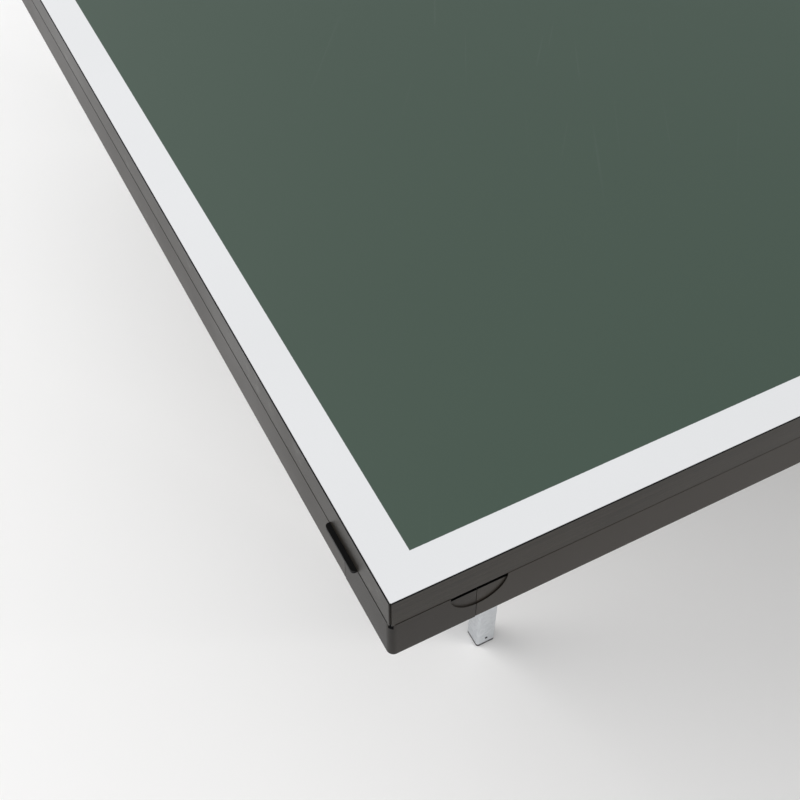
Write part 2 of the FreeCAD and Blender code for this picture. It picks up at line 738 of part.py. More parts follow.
def castor_socket():
    """Plate under the base rail with the bearing cup and the kingpin below it."""
    half = "socket_size / 2"
    plate = box("socket_plate", ("socket_size", "socket_size", "socket_thick"),
                at_castor(f" - {half}", f" - {half}", "base_bottom - socket_thick"))
    cup = rod("socket_cup", "bearing_radius", "base_bottom - socket_thick - fork_top - swivel_gap",
              at_castor("", "", "fork_top + swivel_gap"), Z_AXIS)
    kingpin = rod("socket_kingpin", "kingpin_radius", "fork_plate + 2 * swivel_gap",
                  at_castor("", "", "fork_top - fork_plate - swivel_gap"), Z_AXIS)
    nut = rod("socket_nut", "kingpin_nut", "kingpin_nut_high",
              at_castor("", "", "fork_top - fork_plate - swivel_gap - kingpin_nut_high"), Z_AXIS)
    return fuse("castor_socket", [plate, cup, kingpin, nut])


def castor_fork():
    body = new_body("fork_body")
    rear = "-castor_trail - fork_ear"
    foot_low = "wheel_radius - fork_foot"
    outline = [("fork_half_top", "fork_top"), ("fork_half_top", "fork_top - fork_lip"),
               ("-castor_trail + fork_foot", foot_low), ("-castor_trail - fork_foot", foot_low),
               (rear, "fork_top - fork_tail"), (rear, "fork_top")]
    wide = "wheel_wide + 2 * fork_gap + 2 * fork_plate"
    pad(body, "fork_pad", profile(body, "fork_outline", "XZ_Plane", outline), wide, middle=True)
    place(body, CASTOR_AT)
    room_wide = "wheel_wide + 2 * fork_gap"
    room_long = "fork_half_top + castor_trail + fork_ear + 2 * side_play"
    room = box("fork_room", (room_long, room_wide, "fork_top - fork_plate"),
               at_castor(" - castor_trail - fork_ear - side_play", " - wheel_wide / 2 - fork_gap", "0"))
    axle_hole = rod("fork_axle_hole", "axle_radius", wide, at_castor(
        " - castor_trail", " - wheel_wide / 2 - fork_gap - fork_plate", "wheel_radius"), Y_AXIS)
    pin_hole = rod("fork_pin_hole", "pedal_pin", wide, at_castor(
        " - pedal_x", " - wheel_wide / 2 - fork_gap - fork_plate", "pedal_z"), Y_AXIS)
    king_hole = rod("fork_king_hole", "kingpin_radius + turn_play", "fork_plate",
                    at_castor("", "", "fork_top - fork_plate"), Z_AXIS)
    return cut("castor_fork", body, [room, axle_hole, pin_hole, king_hole])


def castor_wheel():
    body = new_body("wheel_body")
    bore, half = "axle_radius + turn_play", "wheel_wide / 2"
    right = [("hub_half", bore), ("hub_half", "wheel_hub"), ("wheel_web_half", "hub_foot"),
             ("wheel_web_half", "rim_inner"), (half, "rim_outer"), (half, "wheel_radius - tyre_bevel"),
             (half + " - tyre_bevel", "wheel_radius")]
    left = [("-" + across if across != half + " - tyre_bevel" else "-wheel_wide / 2 + tyre_bevel", up)
            for across, up in reversed(right)]
    sketch = profile(body, "wheel_outline", "YZ_Plane", right + left)
    spin(body, "wheel_turn", sketch, "H_Axis")
    return place(body, at_castor(" - castor_trail", "", "wheel_radius"))


def castor_pins():
    """Axle of the wheel with its head and nut, and the pedal's pin, one node on each fork."""
    y_low = " - wheel_wide / 2 - fork_gap - fork_plate"
    wide = "wheel_wide + 2 * fork_gap + 2 * fork_plate"
    axle = rod("axle_shank", "axle_radius", wide, at_castor(" - castor_trail", y_low, "wheel_radius"), Y_AXIS)
    head = rod("axle_head", "axle_head", "fork_plate", at_castor(
        " - castor_trail", y_low + " - fork_plate", "wheel_radius"), Y_AXIS)
    nut = rod("axle_nut", "axle_head", "fork_plate", at_castor(
        " - castor_trail", " + wheel_wide / 2 + fork_gap + fork_plate", "wheel_radius"), Y_AXIS)
    pedal_pin = rod("pedal_pin", "pedal_pin", wide, at_castor(" - pedal_x", y_low, "pedal_z"), Y_AXIS)
    return group("castor_pins", [fuse("castor_axle", [axle, head, nut]), pedal_pin])


def brake_pedal():
    """Pedal over the wheel; its nose swings down towards the tread."""
    wide = "wheel_wide + 2 * fork_gap - 2 * side_play"
    y_low = " - wheel_wide / 2 - fork_gap + side_play"
    eye = rod("pedal_eye", "pedal_eye", wide, at_castor(" - pedal_x", y_low, "pedal_z"), Y_AXIS)
    tread = box("pedal_tread", ("pedal_long", wide, "pedal_thick"),
                at_castor(" - pedal_x - pedal_long", y_low, "pedal_z"))
    nose = box("pedal_nose", ("pedal_nose_wide", wide, "pedal_nose"),
               at_castor(" - pedal_x - pedal_nose_wide / 2", y_low, "pedal_z - pedal_nose"))
    bore = rod("pedal_bore", "pedal_pin + turn_play", wide, at_castor(" - pedal_x", y_low, "pedal_z"), Y_AXIS)
    return cut("brake_pedal", fuse("pedal_blank", [eye, tread, nose]), [bore])


# ---------------------------------------------------------------- net

def net_post():
    """Upright tube on the end of the net beam, drilled for the knob's stem."""
    y, z = "-net_length / 2", "net_beam_top"
    long_z = "table_height + net_height - net_beam_top"
    outer = rod("net_post_outer", "net_post_radius", long_z, ("0", y, z), Z_AXIS)
    inner = rod("net_post_inner", "net_post_radius - net_post_wall", long_z, ("0", y, z), Z_AXIS)
    hole = rod("net_post_hole", "knob_stem + turn_play", "net_post_radius", ("0", y + " - net_post_radius", "knob_z"),
               Y_AXIS)
    return cut("net_post", outer, [inner, hole])


def net():
    low = "net_floor_gap"
    long_y = "net_length - 2 * net_post_radius - 2 * net_end_gap"
    at = ("-net_thick / 2", "-net_length / 2 + net_post_radius + net_end_gap", "table_height + " + low)
    return box("net_panel", ("net_thick", long_y, "net_height - " + low), at)


def net_knob():
    face = "-net_length / 2 - net_post_radius - knob_gap"
    grip = rod("knob_grip", "knob_radius", "knob_long", ("0", face + " - knob_long", "knob_z"), Y_AXIS)
    stem = rod("knob_shaft", "knob_stem", "knob_stem_long", ("0", face, "knob_z"), Y_AXIS)
    return fuse("net_knob", [grip, stem])


# ---------------------------------------------------------------- assembly

def build_halves():
    recess, slot = finger_recess(), end_slot()
    runner, screws = runner_and_screws()
    brackets, pins = hinges(screws)
    node_pair("board", board())
    node_pair("edge_bands", edge_bands())
    node_pair("side_rails", side_rails(recess))
    node_pair("end_rails", end_rails(slot))
    node_pair("corner_pieces", corner_pieces(recess, slot))
    node_pair("corner_tabs", corner_tabs())
    node_pair("runners", both_sides("runners", runner))
    node_pair("hinge_brackets", both_sides("hinge_brackets", brackets))
    node_pair("hinge_pins", both_sides("hinge_pins", pins))
    node_pair("screws", both_sides("screws", group("front_screws", screws)))
    node_pair("leg_frame", leg_frame())
    node_pair("leg_heads", both_sides("leg_heads", leg_head()))
    node_pair("leg_feet", both_sides("leg_feet", leg_foot()))
    node_pair("link_pins", both_sides("link_pins", link_pin()))
    node_pair("link_rods", both_sides("link_rods", link_rod()))


def build_trolley():
    node("base_rails", both_sides("base_rails_pair", base_rail()))
    tube = cross_tube()
    node("cross_tubes", group("cross_tubes_pair", [tube, mirror("cross_tube_right", tube, X_AXIS)]))
    node("posts", four_corners("posts_four", post()))
    node("net_struts", both_sides("net_struts_pair", strut()))
    node("net_beam", net_beam())
    node("tube_end_caps", tube_caps())
    lock, plain = pivot_block(True), mirror("plain_block_rear", pivot_block(False), Y_AXIS)
    blocks = [lock, plain, mirror("lock_block_right", lock, X_AXIS), mirror("plain_block_right", plain, X_AXIS)]
    node("pivot_blocks", group("pivot_blocks_four", blocks))
    node("pivot_bushes", four_corners("pivot_bushes_four", bush()))
    node("link_stubs", four_corners("link_stubs_four", link_stub()))
    node("castor_sockets", four_corners("castor_sockets_four", castor_socket()))
    node("net_posts", both_sides("net_posts_pair", net_post()))
    node("net", net())
    node_pair("lock_plunger", lock_plunger())
    knob = net_knob()
    node("front_net_knob", knob)
    node("rear_net_knob", mirror("net_knob_rear", knob, Y_AXIS))


def build_castors():
    pieces = {"castor_fork": castor_fork(), "castor_pins": castor_pins(), "castor_wheel": castor_wheel()}
    for name, piece in pieces.items():
        rear = mirror(name + "_rear", piece, Y_AXIS)
        node_pair("front_" + name, piece)
        node_pair("rear_" + name, rear)
    node_pair("brake_pedal", brake_pedal())


def check_document():
    for item in doc.Objects:
        if {"Invalid", "Error"} & set(item.State):
            raise RuntimeError(f"{item.Name} failed: {item.State}")
    for item in NODES:
        if item.Shape.isNull() or not item.Shape.isValid() or not item.Shape.Solids:
            raise RuntimeError(f"{item.Label} has no valid solid")


def export_nodes():
    os.makedirs("parts", exist_ok=True)
    for item in NODES:
        item.Shape.exportStep(f"parts/{item.Label}.step")
        volume = item.Shape.Volume / 1000.0
        print(f"{item.Label}: {len(item.Shape.Solids)} solids, {volume:.1f} cm3")
    print(len(NODES), "nodes")


build_halves()
build_trolley()
build_castors()
doc.recompute()
check_document()
export_nodes()
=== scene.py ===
import json
import math

import bmesh
import bpy
from mathutils import Euler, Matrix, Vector


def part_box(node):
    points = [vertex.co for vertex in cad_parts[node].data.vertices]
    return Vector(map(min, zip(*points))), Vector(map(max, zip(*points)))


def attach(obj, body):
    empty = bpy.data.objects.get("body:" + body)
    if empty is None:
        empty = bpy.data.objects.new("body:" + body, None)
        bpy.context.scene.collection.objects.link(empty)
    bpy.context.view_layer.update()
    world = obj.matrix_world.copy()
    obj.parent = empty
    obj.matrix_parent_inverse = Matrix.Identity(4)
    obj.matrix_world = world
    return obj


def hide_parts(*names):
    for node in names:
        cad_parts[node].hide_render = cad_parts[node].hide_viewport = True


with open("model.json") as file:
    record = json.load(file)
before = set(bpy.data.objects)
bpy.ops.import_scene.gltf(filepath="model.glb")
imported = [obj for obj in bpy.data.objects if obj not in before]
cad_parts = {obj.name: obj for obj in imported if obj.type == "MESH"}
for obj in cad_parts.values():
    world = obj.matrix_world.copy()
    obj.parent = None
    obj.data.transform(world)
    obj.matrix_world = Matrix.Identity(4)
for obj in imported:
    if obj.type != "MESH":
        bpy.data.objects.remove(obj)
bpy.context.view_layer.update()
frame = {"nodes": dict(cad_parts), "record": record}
nodes = frame["nodes"]

# ---------------------------------------------------------------- sizes in metres, chosen or from the frame

EDGE_LINE = 0.020
CENTRE_LINE = 0.003
PAINT_EDGE = 0.0007
SLOT_HEIGHT = 0.0035
SLOT_DEPTH = 0.013
SKIN = 0.00005
HEAD_DEPTH = 0.0025
RIVET_HEIGHT = 0.0120
BEAD_STEP = 0.0022
TREAD_HEIGHT = 0.089

BOARD_LOW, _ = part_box("left_board")
BOARD_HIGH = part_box("right_board")[1]
BAND_LOW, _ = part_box("left_edge_bands")
TABLE_END = -BAND_LOW.x
TABLE_SIDE = -BAND_LOW.y
TABLE_TOP = BOARD_HIGH.z
SLOT_FLOOR = BOARD_LOW.z - SLOT_HEIGHT

HALVES = ("left", "right")
ENDS = ("front", "rear")


# ---------------------------------------------------------------- node helpers

def socket(group, name, way, kind, value=None):
    """One named socket on a node group."""
    made = group.interface.new_socket(name=name, in_out=way, socket_type="NodeSocket" + kind)
    if value is not None:
        made.default_value = value
    return made


class Tree:
    """Short way to add and join shader nodes."""

    def __init__(self, tree):
        self.tree = tree

    def add(self, kind, **values):
        made = self.tree.nodes.new(kind)
        for name, value in values.items():
            setattr(made, name, value)
        return made

    def feed(self, target, source):
        if isinstance(source, (int, float, tuple)):
            target.default_value = source
        else:
            self.tree.links.new(source, target)

    def math(self, operation, a, b=None, clamp=False):
        made = self.add("ShaderNodeMath", operation=operation, use_clamp=clamp)
        self.feed(made.inputs[0], a)
        if b is not None:
            self.feed(made.inputs[1], b)
        return made.outputs[0]

    def mix(self, factor, a, b, blend="MIX"):
        made = self.add("ShaderNodeMix", data_type="RGBA", blend_type=blend)
        self.feed(made.inputs[0], factor)
        self.feed(made.inputs[6], a)
        self.feed(made.inputs[7], b)
        return made.outputs[2]

    def spread(self, value, low, high, to_low=0.0, to_high=1.0):
        made = self.add("ShaderNodeMapRange")
        for place, source in enumerate((value, low, high, to_low, to_high)):
            self.feed(made.inputs[place], source)
        return made.outputs[0]

    def noise(self, vector, scale, detail=3.0, roughness=0.55):
        made = self.add("ShaderNodeTexNoise")
        self.feed(made.inputs["Vector"], vector)
        made.inputs["Scale"].default_value = scale
        made.inputs["Detail"].default_value = detail
        made.inputs["Roughness"].default_value = roughness
        return made.outputs["Fac"]

    def stretched(self, vector, scale):
        made = self.add("ShaderNodeMapping")
        self.feed(made.inputs["Vector"], vector)
        made.inputs["Scale"].default_value = scale
        return made.outputs[0]


def group_of(name, inputs, outputs):
    """Empty shader group with its named inputs and outputs."""
    group = bpy.data.node_groups.new(name, "ShaderNodeTree")
    for label, kind, value in inputs:
        socket(group, label, "INPUT", kind, value)
    for label, kind in outputs:
        socket(group, label, "OUTPUT", kind)
    tree = Tree(group)
    return group, tree, tree.add("NodeGroupInput").outputs, tree.add("NodeGroupOutput").inputs


def fine_grain_group():
    """Moulded or coated skin: a fine grain, a broad mottling and rubbed patches."""
    group, tree, given, made = group_of(
        "fine_grain",
        [("Vector", "Vector", None), ("Colour", "Color", (0.1, 0.1, 0.1, 1)),
         ("Rubbed Colour", "Color", (0.2, 0.2, 0.2, 1)), ("Grain Size", "Float", 900.0),
         ("Variation", "Float", 0.2), ("Roughness", "Float", 0.5), ("Wear", "Float", 0.2)],
        [("Colour", "Color"), ("Roughness", "Float"), ("Height", "Float")])
    fine = tree.add("ShaderNodeTexNoise")
    tree.feed(fine.inputs["Vector"], given["Vector"])
    tree.feed(fine.inputs["Scale"], given["Grain Size"])
    fine.inputs["Detail"].default_value = 2.0
    broad = tree.noise(given["Vector"], 7.0, 4.0)
    rubbed = tree.spread(tree.noise(given["Vector"], 38.0, 6.0, 0.7), 0.60, 0.74)
    rubbed = tree.math("MULTIPLY", rubbed, given["Wear"])
    shade = tree.math("SUBTRACT", tree.math("ADD", fine.outputs["Fac"], broad), 1.0)
    shade = tree.math("ADD", tree.math("MULTIPLY", shade, given["Variation"]), 1.0)
    toned = tree.add("ShaderNodeHueSaturation")
    tree.feed(toned.inputs["Value"], shade)
    tree.feed(toned.inputs["Color"], given["Colour"])
    tree.feed(made["Colour"], tree.mix(rubbed, toned.outputs[0], given["Rubbed Colour"]))
    uneven = tree.math("MULTIPLY", tree.math("SUBTRACT", broad, 0.5), 0.22)
    rough = tree.math("ADD", given["Roughness"], uneven)
    polished = tree.math("MULTIPLY", rubbed, 0.25)
    tree.feed(made["Roughness"], tree.math("SUBTRACT", rough, polished, clamp=True))
    tree.feed(made["Height"], tree.math("ADD", fine.outputs["Fac"], tree.math("MULTIPLY", broad, 0.4)))
    return group


def scuff_group():
    """Thin scratches in two directions, as a mask."""
    group, tree, given, made = group_of(
        "scuffs", [("Vector", "Vector", None), ("Amount", "Float", 0.3)], [("Mask", "Float")])
    found = []
    for turn, stretch in ((0.5, (260.0, 5.0, 60.0)), (-0.9, (6.0, 310.0, 60.0))):
        turned = tree.add("ShaderNodeMapping")
        tree.feed(turned.inputs["Vector"], given["Vector"])
        turned.inputs["Rotation"].default_value = (0.0, 0.0, turn)
        lines = tree.noise(tree.stretched(turned.outputs[0], stretch), 1.0, 2.0, 0.5)
        patches = tree.spread(tree.noise(given["Vector"], 4.0, 2.0), 0.50, 0.66)
        found.append(tree.math("MULTIPLY", tree.spread(lines, 0.70, 0.78), patches))
    both = tree.math("MAXIMUM", found[0], found[1])
    tree.feed(made["Mask"], tree.math("MULTIPLY", both, given["Amount"]))
    return group


def dust_group():
    """Dust that lies on faces that look up."""
    group, tree, given, made = group_of(
        "dust", [("Vector", "Vector", None), ("Amount", "Float", 0.2)], [("Mask", "Float")])
    normal = tree.add("ShaderNodeNewGeometry").outputs["Normal"]
    split = tree.add("ShaderNodeSeparateXYZ")
    tree.feed(split.inputs[0], normal)
    up = tree.spread(split.outputs["Z"], 0.35, 0.95)
    patch = tree.spread(tree.noise(given["Vector"], 26.0, 5.0, 0.65), 0.40, 0.75)
    tree.feed(made["Mask"], tree.math("MULTIPLY", tree.math("MULTIPLY", up, patch), given["Amount"]))
    return group


def paint_line_group():
    """White lines of the playing surface: round the outside and a thin one down the middle."""
    group, tree, given, made = group_of(
        "court_lines",
        [("Vector", "Vector", None), ("Half Length", "Float", 1.37), ("Half Width", "Float", 0.7625),
         ("Edge Line", "Float", 0.02), ("Centre Line", "Float", 0.003)],
        [("Mask", "Float")])
    split = tree.add("ShaderNodeSeparateXYZ")
    tree.feed(split.inputs[0], given["Vector"])
    uneven = tree.math("SUBTRACT", tree.noise(given["Vector"], 700.0, 2.0), 0.5)
    wobble = tree.math("MULTIPLY", uneven, 0.00022)
    across = tree.math("ADD", tree.math("ABSOLUTE", split.outputs["Y"]), wobble)
    along = tree.math("ADD", tree.math("ABSOLUTE", split.outputs["X"]), wobble)
    soft = 0.00012
    masks = []
    for value, size in ((along, "Half Length"), (across, "Half Width")):
        edge = tree.math("SUBTRACT", given[size], given["Edge Line"])
        masks.append(tree.spread(value, tree.math("SUBTRACT", edge, soft), tree.math("ADD", edge, soft)))
    half = tree.math("MULTIPLY", given["Centre Line"], 0.5)
    masks.append(tree.spread(across, tree.math("ADD", half, soft), tree.math("SUBTRACT", half, soft)))
    line = tree.math("MAXIMUM", tree.math("MAXIMUM", masks[0], masks[1]), masks[2])
    tree.feed(made["Mask"], line)
    return group


GRAIN = fine_grain_group()
SCUFFS = scuff_group()
DUST = dust_group()
LINES = paint_line_group()


class Finish:
    """One material: a Principled shader with a coordinate, groups and a bump."""

    def __init__(self, name):
        self.material = bpy.data.materials.new(name)
        self.material.use_nodes = True
        self.tree = Tree(self.material.node_tree)
        self.shader = self.material.node_tree.nodes["Principled BSDF"]
        self.place = self.tree.add("ShaderNodeTexCoord").outputs["Object"]

    def use(self, group, **values):
        made = self.tree.add("ShaderNodeGroup")
        made.node_tree = group
        self.tree.feed(made.inputs["Vector"], self.place)
        for name, value in values.items():
            self.tree.feed(made.inputs[name.replace("_", " ")], value)
        return made.outputs

    def split_place(self):
        """The three parts of the object's own coordinate."""
        split = self.tree.add("ShaderNodeSeparateXYZ")
        self.tree.feed(split.inputs[0], self.place)
        return split.outputs

    def inward(self):
        """How far a point lies inside the table's outline, in metres."""
        where = self.split_place()
        ends = self.tree.math("SUBTRACT", TABLE_END, self.tree.math("ABSOLUTE", where["X"]))
        sides = self.tree.math("SUBTRACT", TABLE_SIDE, self.tree.math("ABSOLUTE", where["Y"]))
        return self.tree.math("MINIMUM", ends, sides)

    def set(self, name, source):
        self.tree.feed(self.shader.inputs[name], source)

    def bump(self, height, strength, distance):
        made = self.tree.add("ShaderNodeBump")
        made.inputs["Strength"].default_value = strength
        made.inputs["Distance"].default_value = distance
        self.tree.feed(made.inputs["Height"], height)
        self.set("Normal", made.outputs[0])


# ---------------------------------------------------------------- materials

def playing_board_finish():
    """Green rolled paint with white lines on top; the underside is sealed dark, and the edges are coloured
    near-black as painted shade.
    """
    finish = Finish("playing_board")
    tree = finish.tree
    lines = finish.use(LINES, Half_Length=TABLE_END, Half_Width=TABLE_SIDE,
                       Edge_Line=EDGE_LINE, Centre_Line=CENTRE_LINE)
    green = finish.use(GRAIN, Colour=(0.042, 0.071, 0.050, 1), Rubbed_Colour=(0.050, 0.083, 0.059, 1),
                       Grain_Size=1500.0, Variation=0.055, Roughness=0.50, Wear=0.05)
    white = finish.use(GRAIN, Colour=(0.755, 0.755, 0.755, 1), Rubbed_Colour=(0.71, 0.71, 0.71, 1),
                       Grain_Size=1900.0, Variation=0.05, Roughness=0.48, Wear=0.10)
    under = finish.use(GRAIN, Colour=(0.020, 0.018, 0.016, 1), Rubbed_Colour=(0.045, 0.040, 0.034, 1),
                       Grain_Size=420.0, Variation=0.35, Roughness=0.72, Wear=0.30)
    top = tree.mix(lines["Mask"], green["Colour"], white["Colour"])
    height = finish.split_place()["Z"]
    on_top = tree.math("GREATER_THAN", height, TABLE_TOP - SKIN)
    on_bottom = tree.math("LESS_THAN", height, BOARD_LOW.z + SKIN)
    on_edge = tree.math("SUBTRACT", 1.0, tree.math("ADD", on_top, on_bottom))
    scuffs = finish.use(SCUFFS, Amount=0.04)
    top = tree.mix(scuffs["Mask"], top, (0.55, 0.58, 0.56, 1))
    # Painted shade: the board's edges, which show only in the notch where the edge bands meet, are
    # near-black; the underside keeps its dark sealer colour.
    underside_and_painted_edge_shade = tree.mix(on_edge, under["Colour"], (0.001, 0.001, 0.001, 1))
    finish.set("Base Color", tree.mix(on_top, underside_and_painted_edge_shade, top))
    finish.set("Roughness", tree.math("MAXIMUM", green["Roughness"], on_edge))
    finish.shader.inputs["Specular IOR Level"].default_value = 0.45
    height = tree.math("ADD", green["Height"], tree.math("MULTIPLY", lines["Mask"], 0.6))
    finish.bump(height, 0.22, 0.00012)
    return finish.material


def edge_band_finish():
    """Dark edge band with a slight wood-like grain; its upper rim carries the white line."""
    finish = Finish("edge_band")
    tree = finish.tree
    band = finish.use(GRAIN, Colour=(0.026, 0.022, 0.017, 1), Rubbed_Colour=(0.050, 0.044, 0.036, 1),
                      Grain_Size=1100.0, Variation=0.55, Roughness=0.36, Wear=0.35)
    streaks = tree.noise(tree.stretched(finish.place, (22.0, 22.0, 900.0)), 1.0, 4.0, 0.6)
    colour = tree.mix(tree.spread(streaks, 0.35, 0.75, 0.0, 0.80), band["Colour"], (0.009, 0.008, 0.007, 1))
    rim = tree.math("GREATER_THAN", finish.split_place()["Z"], TABLE_TOP - SKIN)
    painted = tree.math("MULTIPLY", rim, tree.math("GREATER_THAN", finish.inward(), PAINT_EDGE))
    colour = tree.mix(rim, colour, (0.004, 0.004, 0.004, 1))
    finish.set("Base Color", tree.mix(painted, colour, (0.70, 0.70, 0.70, 1)))
    finish.set("Roughness", band["Roughness"])
    finish.shader.inputs["Specular IOR Level"].default_value = 0.12
    finish.bump(tree.math("ADD", band["Height"], tree.math("MULTIPLY", streaks, 0.8)), 0.35, 0.00012)
    return finish.material


def coated(name, colour, rubbed, grain, variation, roughness, wear, bump,
           distance=0.00010, dust=0.0, specular=0.5, slots=False):
    """Paint, plastic or rubber with a fine grain, rubbed patches, scuffs and a little dust.

    With slots, the faces inside the narrow slots under the board are coloured near-black and fully rough as
    painted shade."""
    finish = Finish(name)
    tree = finish.tree
    skin = finish.use(GRAIN, Colour=colour, Rubbed_Colour=rubbed, Grain_Size=grain,
                      Variation=variation, Roughness=roughness, Wear=wear)
    scuffs = finish.use(SCUFFS, Amount=wear)
    toned = tree.mix(scuffs["Mask"], skin["Colour"], rubbed)
    if dust:
        toned = tree.mix(finish.use(DUST, Amount=dust)["Mask"], toned, (0.35, 0.33, 0.30, 1))
    rough = skin["Roughness"]
    # Painted shade: faces above the slot floor and just inside the table's outline are coloured near-black,
    # as if in shadow.
    if slots:
        depth = finish.inward()
        painted_slot_shade = tree.math("GREATER_THAN", finish.split_place()["Z"], SLOT_FLOOR)
        painted_slot_shade = tree.math("MULTIPLY", painted_slot_shade, tree.math("GREATER_THAN", depth, 2.0 * SKIN))
        painted_slot_shade = tree.math("MULTIPLY", painted_slot_shade, tree.math("LESS_THAN", depth, SLOT_DEPTH))
        toned = tree.mix(painted_slot_shade, toned, (0.001, 0.001, 0.001, 1))
        rough = tree.math("MAXIMUM", rough, painted_slot_shade)
    finish.set("Base Color", toned)
    finish.set("Roughness", rough)
    finish.shader.inputs["Specular IOR Level"].default_value = specular
    finish.bump(skin["Height"], bump, distance)
    return finish.material


def zinc_finish(name, colour, dull, roughness, spangle):
    """Zinc-plated steel: faint spangle, drawn lines along the tube and dulled patches."""
    finish = Finish(name)
    tree = finish.tree
    cells = tree.add("ShaderNodeTexVoronoi")
    tree.feed(cells.inputs["Vector"], finish.place)
    cells.inputs["Scale"].default_value = spangle
    flakes = tree.add("ShaderNodeSeparateColor")
    tree.feed(flakes.inputs[0], cells.outputs["Color"])
    patches = tree.noise(finish.place, 16.0, 5.0, 0.6)
    drawn = tree.noise(tree.stretched(finish.place, (420.0, 420.0, 9.0)), 1.0, 3.0)
    shade = tree.math("ADD", tree.math("MULTIPLY", flakes.outputs[0], 0.35),
                      tree.math("MULTIPLY", patches, 0.65))
    finish.set("Base Color", tree.mix(tree.spread(shade, 0.30, 0.75), colour, dull))
    worn = tree.math("MULTIPLY", tree.math("SUBTRACT", tree.math("ADD", drawn, flakes.outputs[0]), 1.0), 0.16)
    finish.set("Roughness", tree.math("ADD", worn, roughness, clamp=True))
    finish.shader.inputs["Metallic"].default_value = 0.85
    finish.bump(tree.math("ADD", drawn, tree.math("MULTIPLY", patches, 0.5)), 0.18, 0.00008)
    return finish.material


def net_finish(name, colour, weave):
    """Cotton and nylon cord with a twisted yarn in its surface."""
    finish = Finish(name)
    tree = finish.tree
    yarn = tree.add("ShaderNodeTexWave", wave_type="BANDS", bands_direction="DIAGONAL")
    tree.feed(yarn.inputs["Vector"], finish.place)
    yarn.inputs["Scale"].default_value = weave
    yarn.inputs["Distortion"].default_value = 1.5
    fuzz = tree.noise(finish.place, 300.0, 4.0, 0.7)
    dark = tuple(0.62 * part for part in colour[:3]) + (1.0,)
    finish.set("Base Color", tree.mix(tree.math("MULTIPLY", yarn.outputs["Fac"], fuzz), colour, dark))
    finish.set("Roughness", tree.spread(fuzz, 0.2, 0.8, 0.70, 0.92))
    finish.shader.inputs["Sheen Weight"].default_value = 0.25
    finish.bump(tree.math("ADD", yarn.outputs["Fac"], fuzz), 0.5, 0.0002)
    return finish.material


FINISHES = {
    "playing_board": playing_board_finish(),
    "edge_band": edge_band_finish(),
    "dark_frame": coated(
        "dark_frame", colour=(0.026, 0.022, 0.018, 1), rubbed=(0.050, 0.044, 0.038, 1), grain=1300.0,
        variation=0.16, roughness=0.38, wear=0.18, bump=0.20, specular=0.10, slots=True),
    "corner_plastic": coated(
        "corner_plastic", colour=(0.022, 0.019, 0.016, 1), rubbed=(0.044, 0.039, 0.034, 1), grain=1700.0,
        variation=0.22, roughness=0.42, wear=0.22, bump=0.35, specular=0.10, slots=True),
    "black_tab": coated(
        "black_tab", colour=(0.002, 0.002, 0.002, 1), rubbed=(0.008, 0.008, 0.008, 1), grain=1500.0,
        variation=0.3, roughness=0.50, wear=0.15, bump=0.25, specular=0.10),
    "zinc_steel": zinc_finish(
        "zinc_steel", colour=(0.66, 0.68, 0.70, 1), dull=(0.59, 0.61, 0.63, 1),
        roughness=0.38, spangle=240.0),
    "bright_steel": zinc_finish(
        "bright_steel", colour=(0.66, 0.66, 0.65, 1), dull=(0.42, 0.42, 0.41, 1),
        roughness=0.28, spangle=500.0),
    "grey_plastic": coated(
        "grey_plastic", colour=(0.022, 0.022, 0.023, 1), rubbed=(0.07, 0.07, 0.07, 1), grain=1400.0,
        variation=0.25, roughness=0.50, wear=0.30, bump=0.30, dust=0.12),
    "trolley_paint": coated(
        "trolley_paint", colour=(0.050, 0.046, 0.042, 1), rubbed=(0.15, 0.14, 0.13, 1), grain=900.0,
        variation=0.22, roughness=0.42, wear=0.25, bump=0.30, dust=0.18),
    "bush_plastic": coated(
        "bush_plastic", colour=(0.62, 0.60, 0.54, 1), rubbed=(0.45, 0.43, 0.38, 1), grain=900.0,
        variation=0.15, roughness=0.42, wear=0.3, bump=0.2),
    "net_cloth": net_finish("net_cloth", colour=(0.028, 0.050, 0.040, 1), weave=900.0),
    "net_tape": net_finish("net_tape", colour=(0.72, 0.72, 0.70, 1), weave=700.0),
    "knob_plastic": coated(
        "knob_plastic", colour=(0.012, 0.012, 0.013, 1), rubbed=(0.05, 0.05, 0.05, 1), grain=1500.0,
        variation=0.3, roughness=0.38, wear=0.3, bump=0.25),
    "wheel_rubber": coated(
        "wheel_rubber", colour=(0.024, 0.024, 0.025, 1), rubbed=(0.10, 0.095, 0.09, 1), grain=700.0,
        variation=0.35, roughness=0.62, wear=0.6, bump=0.5, distance=0.0003),
    "wheel_hub": coated(
        "wheel_hub", colour=(0.17, 0.17, 0.175, 1), rubbed=(0.26, 0.26, 0.26, 1), grain=1200.0,
        variation=0.2, roughness=0.45, wear=0.3, bump=0.3),
}


def dress_frame():
    """Give every CAD node the finish of its slot."""
    for row in frame["record"]["subparts"]:
        piece = nodes[row["node"]]
        finish = FINISHES[row["material_slot"]]
        if not piece.material_slots:
            piece.data.materials.append(finish)
        for place in piece.material_slots:
            place.material = finish


# ---------------------------------------------------------------- mesh helpers

def linked(name, mesh, finish):
    """Object at the origin for a finished mesh, with its material."""
    mesh.name = name
    mesh.materials.clear()
    mesh.materials.append(FINISHES[finish])
    for polygon in mesh.polygons:
        polygon.material_index = 0
    piece = bpy.data.objects.new(name, mesh)
    bpy.context.scene.collection.objects.link(piece)
    return piece


def baked(piece):
    """New mesh with the piece's modifiers or curve bevel worked in; the piece itself is removed."""
    shown = piece.evaluated_get(bpy.context.evaluated_depsgraph_get())
    mesh = bpy.data.meshes.new_from_object(shown)
    bpy.data.objects.remove(piece)
    return mesh


